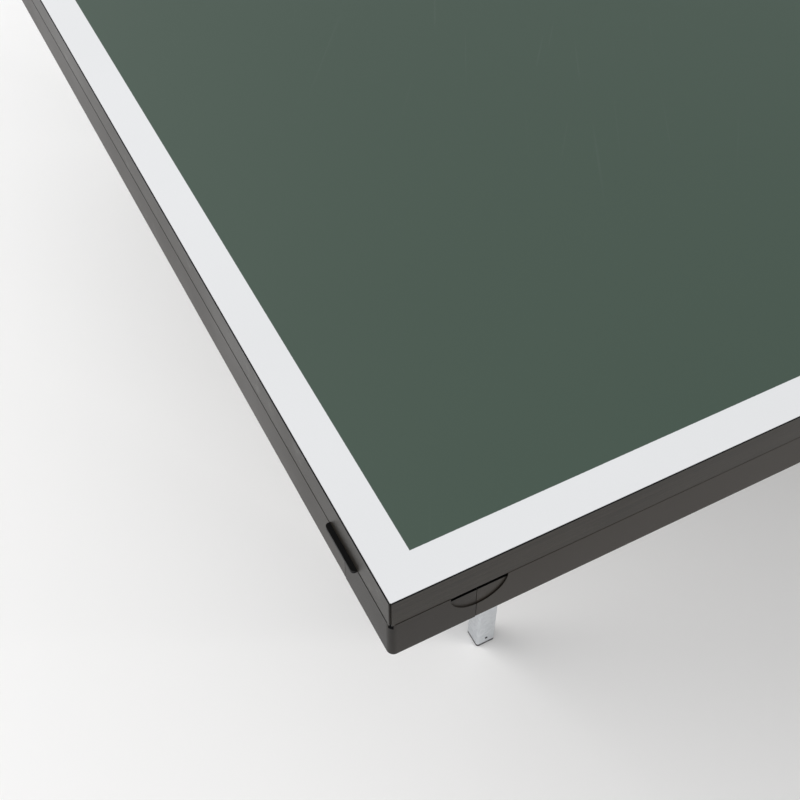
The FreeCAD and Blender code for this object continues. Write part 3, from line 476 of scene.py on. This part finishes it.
def outward(work):
    """Finished mesh: corners merged, faces turned outwards, shaded smooth but for its sharp edges."""
    bmesh.ops.remove_doubles(work, verts=work.verts, dist=1e-6)
    bmesh.ops.recalc_face_normals(work, faces=work.faces)
    for face in work.faces:
        face.smooth = True
    for edge in work.edges:
        edge.smooth = edge.calc_face_angle(0.0) < math.radians(38.0)
    mesh = bpy.data.meshes.new("work")
    work.to_mesh(mesh)
    work.free()
    return mesh


def spun(outline, at, axis, steps, closed=False):
    """Mesh turned round an axis through a point; the outline is pairs (along the axis, radius)."""
    work = bmesh.new()
    ahead = Vector((0, 1, 0)) if axis == "y" else Vector((0, 0, 1))
    corners = [work.verts.new(Vector(at) + ahead * along + Vector((radius, 0, 0)))
               for along, radius in outline]
    edges = [work.edges.new(pair) for pair in zip(corners, corners[1:])]
    if closed:
        edges.append(work.edges.new((corners[-1], corners[0])))
    bmesh.ops.spin(work, geom=corners + edges, cent=Vector(at), axis=ahead, angle=2.0 * math.pi, steps=steps,
                   use_merge=True)
    return outward(work)


def soft_block(low, high, bevel, cuts=0):
    """Block with rounded edges."""
    work = bmesh.new()
    bmesh.ops.create_cube(work, size=1.0)
    low, high = Vector(low), Vector(high)
    for corner in work.verts:
        corner.co = Vector(low[k] + (corner.co[k] + 0.5) * (high[k] - low[k]) for k in range(3))
    if cuts:
        longest = max(range(3), key=lambda k: high[k] - low[k])
        along = [edge for edge in work.edges
                 if abs(edge.verts[0].co[longest] - edge.verts[1].co[longest]) > 1e-6]
        bmesh.ops.subdivide_edges(work, edges=along, cuts=cuts)
    sharp = [edge for edge in work.edges if edge.calc_face_angle(0.0) > 1.0]
    bmesh.ops.bevel(work, geom=sharp, offset=bevel, segments=2, affect="EDGES", profile=0.6)
    return outward(work)


def carved(mesh, tool):
    """The mesh with the tool cut out of it."""
    piece, cutter = bpy.data.objects.new("carved", mesh), bpy.data.objects.new("cutter", tool)
    for made in (piece, cutter):
        bpy.context.scene.collection.objects.link(made)
    step = piece.modifiers.new("cut", "BOOLEAN")
    step.operation = "DIFFERENCE"
    step.object = cutter
    result = baked(piece)
    bpy.data.objects.remove(cutter)
    return result


def solid_boxes(node):
    """(low, high) of each loose solid of a CAD node."""
    work = bmesh.new()
    work.from_mesh(nodes[node].data)
    bmesh.ops.remove_doubles(work, verts=work.verts, dist=1e-6)
    placed = nodes[node].matrix_world
    found, seen = [], set()
    for start in work.verts:
        if start in seen:
            continue
        seen.add(start)
        queue, group = [start], []
        while queue:
            corner = queue.pop()
            group.append(placed @ corner.co)
            for edge in corner.link_edges:
                other = edge.other_vert(corner)
                if other not in seen:
                    seen.add(other)
                    queue.append(other)
        found.append((Vector(min(p[k] for p in group) for k in range(3)),
                      Vector(max(p[k] for p in group) for k in range(3))))
    work.free()
    return found


# ---------------------------------------------------------------- geometry trees

def geometry_tree(name, inputs):
    """Empty geometry tree with its named inputs, and the identifier of each."""
    tree = bpy.data.node_groups.new(name, "GeometryNodeTree")
    sockets = {"Geometry": socket(tree, "Geometry", "INPUT", "Geometry").identifier}
    for label, kind, value in inputs:
        sockets[label] = socket(tree, label, "INPUT", kind, value).identifier
    socket(tree, "Geometry", "OUTPUT", "Geometry")
    way = Tree(tree)
    return tree, way, way.add("NodeGroupInput").outputs, way.add("NodeGroupOutput").inputs, sockets


def finish_tree(way, geometry, material, target):
    """Realize the instances, give them their material and hand them out."""
    real = way.add("GeometryNodeRealizeInstances")
    way.feed(real.inputs[0], geometry)
    paint = way.add("GeometryNodeSetMaterial")
    way.feed(paint.inputs["Geometry"], real.outputs[0])
    way.feed(paint.inputs["Material"], material)
    way.feed(target, paint.outputs[0])


def repeat_tree():
    """One piece set on every point of the mesh, turned by the point's own angles."""
    tree, way, given, made, sockets = geometry_tree(
        "repeat_piece", [("Piece", "Object", None), ("Material", "Material", None),
                         ("Size Variation", "Float", 0.0), ("Seed", "Int", 7)])
    source = way.add("GeometryNodeObjectInfo")
    way.feed(source.inputs["Object"], given["Piece"])
    turn = way.add("GeometryNodeInputNamedAttribute", data_type="FLOAT_VECTOR")
    turn.inputs["Name"].default_value = "turn"
    size = way.add("FunctionNodeRandomValue", data_type="FLOAT")
    way.feed(size.inputs[2], way.math("SUBTRACT", 1.0, given["Size Variation"]))
    size.inputs[3].default_value = 1.0
    way.feed(size.inputs["Seed"], given["Seed"])
    spread = way.add("GeometryNodeInstanceOnPoints")
    way.feed(spread.inputs["Points"], given["Geometry"])
    way.feed(spread.inputs["Instance"], source.outputs["Geometry"])
    way.feed(spread.inputs["Rotation"], turn.outputs["Attribute"])
    way.feed(spread.inputs["Scale"], size.outputs[1])
    finish_tree(way, spread.outputs[0], given["Material"], made[0])
    return tree, sockets


def net_tree():
    """Square net: a grid of thin cords with a knot where they cross."""
    tree, way, given, made, sockets = geometry_tree(
        "knotted_net", [("Length", "Float", 1.8), ("Height", "Float", 0.13), ("Columns", "Int", 10),
                        ("Rows", "Int", 5), ("Cord Radius", "Float", 0.0006), ("Knot Radius", "Float", 0.001),
                        ("Bottom", "Float", 0.0), ("Slack", "Float", 0.0002),
                        ("Material", "Material", None), ("Seed", "Int", 3)])
    grid = way.add("GeometryNodeMeshGrid")
    for place, label in enumerate(("Length", "Height", "Columns", "Rows")):
        way.feed(grid.inputs[place], given[label])
    uneven = way.add("FunctionNodeRandomValue", data_type="FLOAT_VECTOR")
    low = way.add("ShaderNodeCombineXYZ")
    high = way.add("ShaderNodeCombineXYZ")
    for place in range(3):
        way.feed(low.inputs[place], way.math("MULTIPLY", given["Slack"], -1.0))
        way.feed(high.inputs[place], given["Slack"])
    way.feed(uneven.inputs[0], low.outputs[0])
    way.feed(uneven.inputs[1], high.outputs[0])
    way.feed(uneven.inputs["Seed"], given["Seed"])
    moved = way.add("GeometryNodeSetPosition")
    way.feed(moved.inputs["Geometry"], grid.outputs["Mesh"])
    way.feed(moved.inputs["Offset"], uneven.outputs[0])
    lift = way.add("ShaderNodeCombineXYZ")
    way.feed(lift.inputs["Z"], way.math("ADD", given["Bottom"], way.math("MULTIPLY", given["Height"], 0.5)))
    upright = way.add("GeometryNodeTransform")
    way.feed(upright.inputs["Geometry"], moved.outputs[0])
    way.feed(upright.inputs["Translation"], lift.outputs[0])
    upright.inputs["Rotation"].default_value = (math.radians(90.0), 0.0, math.radians(90.0))
    cords = way.add("GeometryNodeMeshToCurve")
    way.feed(cords.inputs[0], upright.outputs[0])
    ring = way.add("GeometryNodeCurvePrimitiveCircle")
    ring.inputs["Resolution"].default_value = 5
    way.feed(ring.inputs["Radius"], given["Cord Radius"])
    tubes = way.add("GeometryNodeCurveToMesh")
    way.feed(tubes.inputs["Curve"], cords.outputs[0])
    way.feed(tubes.inputs["Profile Curve"], ring.outputs[0])
    tubes.inputs["Fill Caps"].default_value = True
    knot = way.add("GeometryNodeMeshIcoSphere")
    way.feed(knot.inputs["Radius"], given["Knot Radius"])
    knot.inputs["Subdivisions"].default_value = 1
    knots = way.add("GeometryNodeInstanceOnPoints")
    way.feed(knots.inputs["Points"], upright.outputs[0])
    way.feed(knots.inputs["Instance"], knot.outputs["Mesh"])
    both = way.add("GeometryNodeJoinGeometry")
    way.feed(both.inputs[0], tubes.outputs[0])
    way.feed(both.inputs[0], knots.outputs[0])
    finish_tree(way, both.outputs[0], given["Material"], made[0])
    return tree, sockets


REPEAT, REPEAT_SOCKETS = repeat_tree()
NET, NET_SOCKETS = net_tree()


def grown(tree, sockets, base, values):
    """Mesh that a geometry tree makes from a base mesh."""
    holder = bpy.data.objects.new("holder", base)
    step = holder.modifiers.new("nodes", "NODES")
    step.node_group = tree
    for label, value in values.items():
        step[sockets[label]] = value
    bpy.context.scene.collection.objects.link(holder)
    return baked(holder)


def repeated(name, template, spots, finish, variation=0.0):
    """One mesh of copies of a template mesh at (place, turn) spots."""
    base = bpy.data.meshes.new("spots")
    base.from_pydata([tuple(place) for place, _ in spots], [], [])
    turns = base.attributes.new("turn", "FLOAT_VECTOR", "POINT")
    turns.data.foreach_set("vector", [part for _, turn in spots for part in turn])
    shape = bpy.data.objects.new("template", template)
    bpy.context.scene.collection.objects.link(shape)
    mesh = grown(REPEAT, REPEAT_SOCKETS, base,
                 {"Piece": shape, "Material": FINISHES[finish], "Size Variation": variation})
    bpy.data.objects.remove(shape)
    return linked(name, mesh, finish)


def belongs(piece, body, *stands_for):
    """Tie a finished piece to its body and the CAD nodes that it stands for."""
    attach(piece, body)
    if stands_for:
        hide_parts(*stands_for)
    return piece


# ---------------------------------------------------------------- screws, rivets and welds

def screw_head():
    """Pan head with a cross recess, looking down; its seat is at height 0."""
    head = spun([(0.0, 0.0), (0.0, 0.0044), (-0.0007, 0.0045), (-0.0014, 0.0042), (-0.0020, 0.0033),
                 (-0.0024, 0.0018), (-HEAD_DEPTH, 0.0)], (0, 0, 0), "z", steps=20)
    for size in ((0.0023, 0.00045), (0.00045, 0.0023)):
        slot = soft_block((-size[0], -size[1], -0.0030), (size[0], size[1], -0.0011), bevel=0.0002)
        head = carved(head, slot)
    return head


def screws(side):
    """Screws under one half, each with its cross at its own angle."""
    spots = []
    for number, (low, high) in enumerate(solid_boxes(side + "_screws")):
        middle = (low + high) / 2.0
        spots.append(((middle.x, middle.y, low.z + HEAD_DEPTH), (0.0, 0.0, 2.4 * number)))
    made = repeated(side + "_cross_screws", screw_head(), spots, "bright_steel")
    belongs(made, side + "_half", side + "_screws")


def leg_rivets(side):
    """Black snap rivets that hold the feet in the legs, just above the floor."""
    dome = spun([(0.0002, 0.0), (0.0002, 0.0017), (-0.0003, 0.0016), (-0.0007, 0.0009), (-0.0008, 0.0)],
                (0, 0, 0), "y", steps=16)
    spots = []
    for low, high in solid_boxes(side + "_leg_feet"):
        middle = (low + high) / 2.0
        face, turn = (low.y, 0.0) if middle.y < 0.0 else (high.y, math.pi)
        spots.append(((middle.x, face, RIVET_HEIGHT), (0.0, 0.0, turn)))
    belongs(repeated(side + "_foot_rivets", dome, spots, "grey_plastic"), side + "_legs")


def beads(name, loops, radius, finish, body):
    """Weld beads: closed lumpy strings round the given loops of corners."""
    data = bpy.data.curves.new(name, "CURVE")
    data.dimensions = "3D"
    data.bevel_depth = radius
    data.bevel_resolution = 1
    for number, corners in enumerate(loops):
        points = []
        for start, end in zip(corners, corners[1:] + corners[:1]):
            start, end = Vector(start), Vector(end)
            steps = max(3, round((end - start).length / BEAD_STEP))
            points += [start.lerp(end, step / steps) for step in range(steps)]
        line = data.splines.new("POLY")
        line.points.add(len(points) - 1)
        line.use_cyclic_u = True
        for step, point in enumerate(points):
            line.points[step].co = (*point, 1.0)
            line.points[step].radius = 0.80 + 0.24 * abs(math.sin(1.9 * step + 0.7 * number))
    piece = bpy.data.objects.new(name, data)
    bpy.context.scene.collection.objects.link(piece)
    mesh = baked(piece)
    for polygon in mesh.polygons:
        polygon.use_smooth = True
    belongs(linked(name, mesh, finish), body)


def rectangle(low, high, axis, level):
    """Corners of a box's outline across one axis, at a level on it."""
    first, second = [k for k in range(3) if k != axis]
    corners = []
    for a, b in ((low[first], low[second]), (high[first], low[second]),
                 (high[first], high[second]), (low[first], high[second])):
        corner = [0.0, 0.0, 0.0]
        corner[axis], corner[first], corner[second] = level, a, b
        corners.append(tuple(corner))
    return corners


def trolley_welds():
    """Beads round the feet of the posts and struts, and round both ends of each cross tube."""
    loops = [rectangle(low, high, 2, low.z) for low, high in solid_boxes("posts") + solid_boxes("net_struts")]
    for low, high in solid_boxes("cross_tubes"):
        loops += [rectangle(low, high, 1, low.y), rectangle(low, high, 1, high.y)]
    beads("trolley_welds", loops, 0.0013, "trolley_paint", "trolley")


def leg_welds(side):
    """Beads round both ends of the leg pair's widest tube."""
    low, high = max(solid_boxes(side + "_leg_frame"), key=lambda found: found[1].y - found[0].y)
    loops = [rectangle(low, high, 1, low.y), rectangle(low, high, 1, high.y)]
    beads(side + "_leg_welds", loops, 0.0011, "zinc_steel", side + "_legs")


# ---------------------------------------------------------------- wheels, knobs and pedals

# half outlines, as pairs (along the axle, radius)
TYRE_HALF = [(0.0008, 0.0367), (0.0026, 0.0367), (0.0036, 0.0375), (0.0095, 0.0371),
             (0.0113, 0.0358), (0.0120, 0.0335), (0.0119, 0.0304), (0.0095, 0.0299)]
HUB_HALF = [(0.0130, 0.0041), (0.0130, 0.0098), (0.0122, 0.0107), (0.0042, 0.0115), (0.0027, 0.0128),
            (0.0027, 0.0238), (0.0042, 0.0253), (0.0094, 0.0262), (0.0104, 0.0272), (0.0104, 0.0300)]
HUB_RIBS = 6


def mirrored(half):
    """The outline's other half, from its last point back to its first."""
    return [(-along, radius) for along, radius in reversed(half)]


def wheel(side, end):
    """Rubber tyre with a groove round its tread, and a hub with ribs."""
    node = f"{side}_{end}_castor_wheel"
    low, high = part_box(node)
    middle, body = (low + high) / 2.0, node + "_body"
    tyre = spun(mirrored(TYRE_HALF) + TYRE_HALF, middle, "y", steps=64, closed=True)
    belongs(linked(f"{side}_{end}_tyre", tyre, "wheel_rubber"), body, node)
    hub = spun(HUB_HALF + mirrored(HUB_HALF), middle, "y", steps=48, closed=True)
    belongs(linked(f"{side}_{end}_hub", hub, "wheel_hub"), body)
    rib = soft_block((0.0105, -0.0085, -0.0009), (0.0258, 0.0085, 0.0009), bevel=0.0004)
    spots = [(middle, (0.0, math.radians(360.0 / HUB_RIBS * number), 0.0)) for number in range(HUB_RIBS)]
    belongs(repeated(f"{side}_{end}_hub_ribs", rib, spots, "wheel_hub"), body)


def ribbed_grip(name, outline, at, radius, span, ribs, body, finish):
    """Turned grip with rounded ribs along its outside."""
    grip = belongs(linked(name, spun(outline, at, "y", steps=48), finish), body)
    rib = soft_block((radius - 0.0026, span[0], -0.0011), (radius - 0.0002, span[1], 0.0011), bevel=0.0007)
    spots = [(at, (0.0, 2.0 * math.pi * number / ribs, 0.0)) for number in range(ribs)]
    belongs(repeated(name + "_ribs", rib, spots, finish), body)
    return grip


def net_knob(end):
    """Clamp knob of one net post; its stem goes into the post."""
    low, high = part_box(end + "_net_knob")
    way = 1.0 if end == "front" else -1.0
    middle = (low + high) / 2.0
    outer = Vector((middle.x, low.y if way > 0 else high.y, middle.z))
    radius, long = (high.x - low.x) / 2.0, 0.018
    outline = [(0.0, 0.0), (0.0004, 0.0070), (0.0016, 0.0108), (0.0032, 0.0130), (0.0060, radius - 0.0012),
               (long - 0.0020, radius - 0.0012), (long, radius - 0.0026), (long, 0.0040),
               (high.y - low.y, 0.0039), (high.y - low.y, 0.0)]
    outline = [(way * along, across) for along, across in outline]
    span = sorted((way * 0.0042, way * (long - 0.0012)))
    grip = ribbed_grip(end + "_knob_grip", outline, outer, radius, span, ribs=16,
                       body=end + "_knob", finish="knob_plastic")
    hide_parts(end + "_net_knob")


def lock_plunger(side):
    """Steel bolt with a chamfered tip and a ribbed pull knob."""
    node = side + "_lock_plunger"
    low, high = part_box(node)
    at = Vector(((low.x + high.x) / 2.0, low.y, (low.z + high.z) / 2.0))
    radius, long, full = (high.x - low.x) / 2.0, 0.020, high.y - low.y
    bolt = spun([(long - 0.002, 0.0), (long - 0.002, 0.0040), (full - 0.0015, 0.0040), (full, 0.0026),
                 (full, 0.0)], at, "y", steps=32)
    belongs(linked(side + "_plunger_bolt", bolt, "bright_steel"), side + "_plunger", node)
    outline = [(0.0, 0.0), (0.0003, 0.0046), (0.0012, 0.0068), (0.0028, radius - 0.0012),
               (0.0130, radius - 0.0012), (0.0150, radius - 0.0024), (0.0165, radius - 0.0003),
               (0.0192, radius - 0.0003), (long, radius - 0.0012), (long, 0.0)]
    ribbed_grip(side + "_plunger_knob", outline, at, radius, (0.0030, 0.0128), ribs=14,
                body=side + "_plunger", finish="knob_plastic")


def pedal_ribs(side):
    """Raised grip ribs across the brake pedal's tread."""
    low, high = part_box(side + "_brake_pedal")
    outward_way = -1.0 if side == "left" else 1.0
    tip = low.x if side == "left" else high.x
    rib = soft_block((-0.0007, low.y + 0.002, -0.0006), (0.0007, high.y - 0.002, 0.0008), bevel=0.0003)
    spots = [((tip - outward_way * (0.0035 + 0.0032 * number), 0.0, TREAD_HEIGHT), (0, 0, 0))
             for number in range(5)]
    belongs(repeated(side + "_pedal_ribs", rib, spots, "grey_plastic"), side + "_pedal")


# ---------------------------------------------------------------- net

NET_COLUMNS, NET_ROWS = 146, 12
NET_END_GAP = 0.004
NET_SAG = 0.0014
MESH_SHORTER = 0.0125
TAPE_DEPTH = 0.0150
HEM_WIDTH = 0.009
STITCH_STEP = 0.0042
STITCH_DROP = 0.0138
TIE_INSET = 0.012
TIE_RADIUS = 0.0118
TIE_CORNERS = 28


def post_caps():
    """Domed caps pressed into the tops of the net posts."""
    for end, (low, high) in zip(ENDS, sorted(solid_boxes("net_posts"), key=lambda found: found[0].y)):
        at = ((low.x + high.x) / 2.0, (low.y + high.y) / 2.0, high.z)
        cap = spun([(-0.009, 0.0), (-0.009, 0.0092), (-0.0012, 0.0094), (-0.0006, 0.0080), (-0.0002, 0.0045),
                    (-0.0001, 0.0)], at, "z", steps=36)
        belongs(linked(end + "_post_cap", cap, "grey_plastic"), "trolley")


def hang(share):
    """How far the net's top sags at a share of the way between the posts."""
    return NET_SAG * 4.0 * share * (1.0 - share)


def tape_mesh(low, high):
    """Folded tape over the net's top cord, with a soft top edge and a slight sag between the posts."""
    work = bmesh.new()
    half, top, bottom = (high.x - low.x) / 2.0 - 0.0002, high.z - 0.0002, high.z - 0.0152
    flank = [(half - 0.0003, bottom), (half, bottom + 0.0006), (half, bottom + 0.007), (half, top - 0.0012),
             (half * 0.6, top - 0.0003)]
    outline = [(-x, z) for x, z in flank] + [(0.0, top)] + flank[::-1]
    rings, steps = [], 180
    for step in range(steps + 1):
        share = step / steps
        y = low.y + share * (high.y - low.y)
        ripple = 0.00015 * abs(math.sin(41.0 * share) * math.sin(97.0 * share))
        drop = hang(share) + ripple
        rings.append([work.verts.new((x, y, z - drop)) for x, z in outline])
    for near, far in zip(rings, rings[1:]):
        for k in range(len(outline)):
            following = (k + 1) % len(outline)
            work.faces.new((near[k], near[following], far[following], far[k]))
    work.faces.new(rings[0])
    work.faces.new(rings[-1])
    return outward(work)


def net():
    """Knotted net between the posts, with its white tape, hems, bottom cord, stitches and ties."""
    low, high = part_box("net")
    length = high.y - low.y
    base = bpy.data.meshes.new("net_base")
    base.from_pydata([(0, 0, 0)], [], [])
    mesh = grown(NET, NET_SOCKETS, base,
                 {"Length": length - 2.0 * NET_END_GAP, "Height": high.z - low.z - MESH_SHORTER,
                  "Columns": NET_COLUMNS, "Rows": NET_ROWS, "Cord Radius": 0.00062, "Knot Radius": 0.0011,
                  "Bottom": low.z + 0.0016, "Slack": 0.0002, "Material": FINISHES["net_cloth"], "Seed": 5})
    cloth = belongs(linked("net_mesh", mesh, "net_cloth"), "trolley", "net")
    tape = belongs(linked("net_top_tape", tape_mesh(low, high), "net_tape"), "trolley")
    for end, y0, y1 in (("front", low.y, low.y + HEM_WIDTH), ("rear", high.y - HEM_WIDTH, high.y)):
        strip = soft_block((low.x + 0.0004, y0, low.z + 0.0002),
                           (high.x - 0.0004, y1, high.z - TAPE_DEPTH), bevel=0.0006, cuts=24)
        belongs(linked(f"net_{end}_hem", strip, "net_tape"), "trolley")
    cord = soft_block((-0.0010, low.y + NET_END_GAP, low.z + 0.0002),
                      (0.0010, high.y - NET_END_GAP, low.z + 0.0022), bevel=0.0007, cuts=160)
    foot = belongs(linked("net_bottom_cord", cord, "net_cloth"), "trolley")
    thread = soft_block((-0.00012, -0.0012, -0.00022), (0.00012, 0.0012, 0.00022), bevel=0.0001)
    spots = []
    for number in range(int(length / STITCH_STEP) - 1):
        y = low.y + NET_END_GAP + STITCH_STEP * number
        share = (y - low.y) / length
        for x in (low.x + 0.0002, high.x - 0.0002):
            spots.append(((x, y, high.z - STITCH_DROP - hang(share)), (0, 0, 0)))
    seam = belongs(repeated("net_stitches", thread, spots, "net_tape", 0.1), "trolley")
    loops = []
    for post_low, post_high in solid_boxes("net_posts"):
        x, y = (post_low.x + post_high.x) / 2.0, (post_low.y + post_high.y) / 2.0
        for z in (low.z + TIE_INSET, (low.z + high.z) / 2.0, high.z - TIE_INSET):
            turns = [2.0 * math.pi * number / TIE_CORNERS for number in range(TIE_CORNERS)]
            loops.append([(x + TIE_RADIUS * math.cos(turn), y + TIE_RADIUS * math.sin(turn),
                           z + 0.0006 * math.sin(2.0 * turn)) for turn in turns])
    beads("net_ties", loops, 0.0009, "net_tape", "trolley")


def pieces():
    """Every finished piece, one after another."""
    for side in HALVES:
        screws(side)
        leg_rivets(side)
        leg_welds(side)
        lock_plunger(side)
        pedal_ribs(side)
        for end in ENDS:
            wheel(side, end)
    for end in ENDS:
        net_knob(end)
    trolley_welds()
    post_caps()
    net()


# ---------------------------------------------------------------- floor, light and camera

CAMERA_FROM_CORNER = Vector((-0.1108, -0.2233, 0.4545))
CAMERA_DOWN_DEGREES = 51.7
CAMERA_TURN_DEGREES = -27.4


def floor():
    """Plain pale floor."""
    bpy.ops.mesh.primitive_plane_add(size=40.0, location=(0, 0, 0))
    piece = bpy.context.object
    piece.name = "floor"
    finish = Finish("floor_paint")
    patches = finish.tree.noise(finish.place, 0.9, 3.0)
    finish.set("Base Color", finish.tree.mix(patches, (0.93, 0.915, 0.90, 1), (0.95, 0.94, 0.925, 1)))
    finish.shader.inputs["Roughness"].default_value = 0.65
    finish.shader.inputs["Specular IOR Level"].default_value = 0.2
    piece.data.materials.append(finish.material)


def area_light(name, at, look_at, size, power, colour=(1, 1, 1)):
    """Square soft light at one point, facing another."""
    data = bpy.data.lights.new(name, "AREA")
    data.shape = "SQUARE"
    data.size = size
    data.energy = power
    data.color = colour
    lamp = bpy.data.objects.new(name, data)
    bpy.context.scene.collection.objects.link(lamp)
    lamp.location = at
    lamp.rotation_euler = (Vector(look_at) - Vector(at)).to_track_quat("-Z", "Y").to_euler()


def studio_light():
    """Even pale surroundings and two soft lights."""
    world = bpy.data.worlds.new("studio")
    bpy.context.scene.world = world
    world.use_nodes = True
    background = world.node_tree.nodes["Background"]
    background.inputs["Color"].default_value = (0.95, 0.97, 1.0, 1)
    background.inputs["Strength"].default_value = 0.66
    area_light("back_softbox", at=(-3.6, 2.4, 3.4), look_at=(-2.0, 0.0, 0.0), size=4.4, power=152.0)
    area_light("front_softbox", at=(2.4, -3.8, 1.3), look_at=(-0.9, -0.6, 0.1), size=2.8, power=145.0,
               colour=(1.0, 0.985, 0.96))


def camera():
    """At the outer front corner of the left half, looking down along the table."""
    data = bpy.data.cameras.new("view")
    data.sensor_width = 36.0
    data.lens = 55.06
    data.clip_start = 0.01
    piece = bpy.data.objects.new("view", data)
    bpy.context.scene.collection.objects.link(piece)
    corner = Vector((-TABLE_END, -TABLE_SIDE, TABLE_TOP))
    piece.location = corner + CAMERA_FROM_CORNER
    tilt, turn = math.radians(90.0 - CAMERA_DOWN_DEGREES), math.radians(CAMERA_TURN_DEGREES)
    piece.rotation_euler = Euler((tilt, 0.0, turn), "XYZ")
    bpy.context.scene.camera = piece


dress_frame()
pieces()
floor()
studio_light()
camera()
bpy.context.scene.view_settings.view_transform = "Standard"
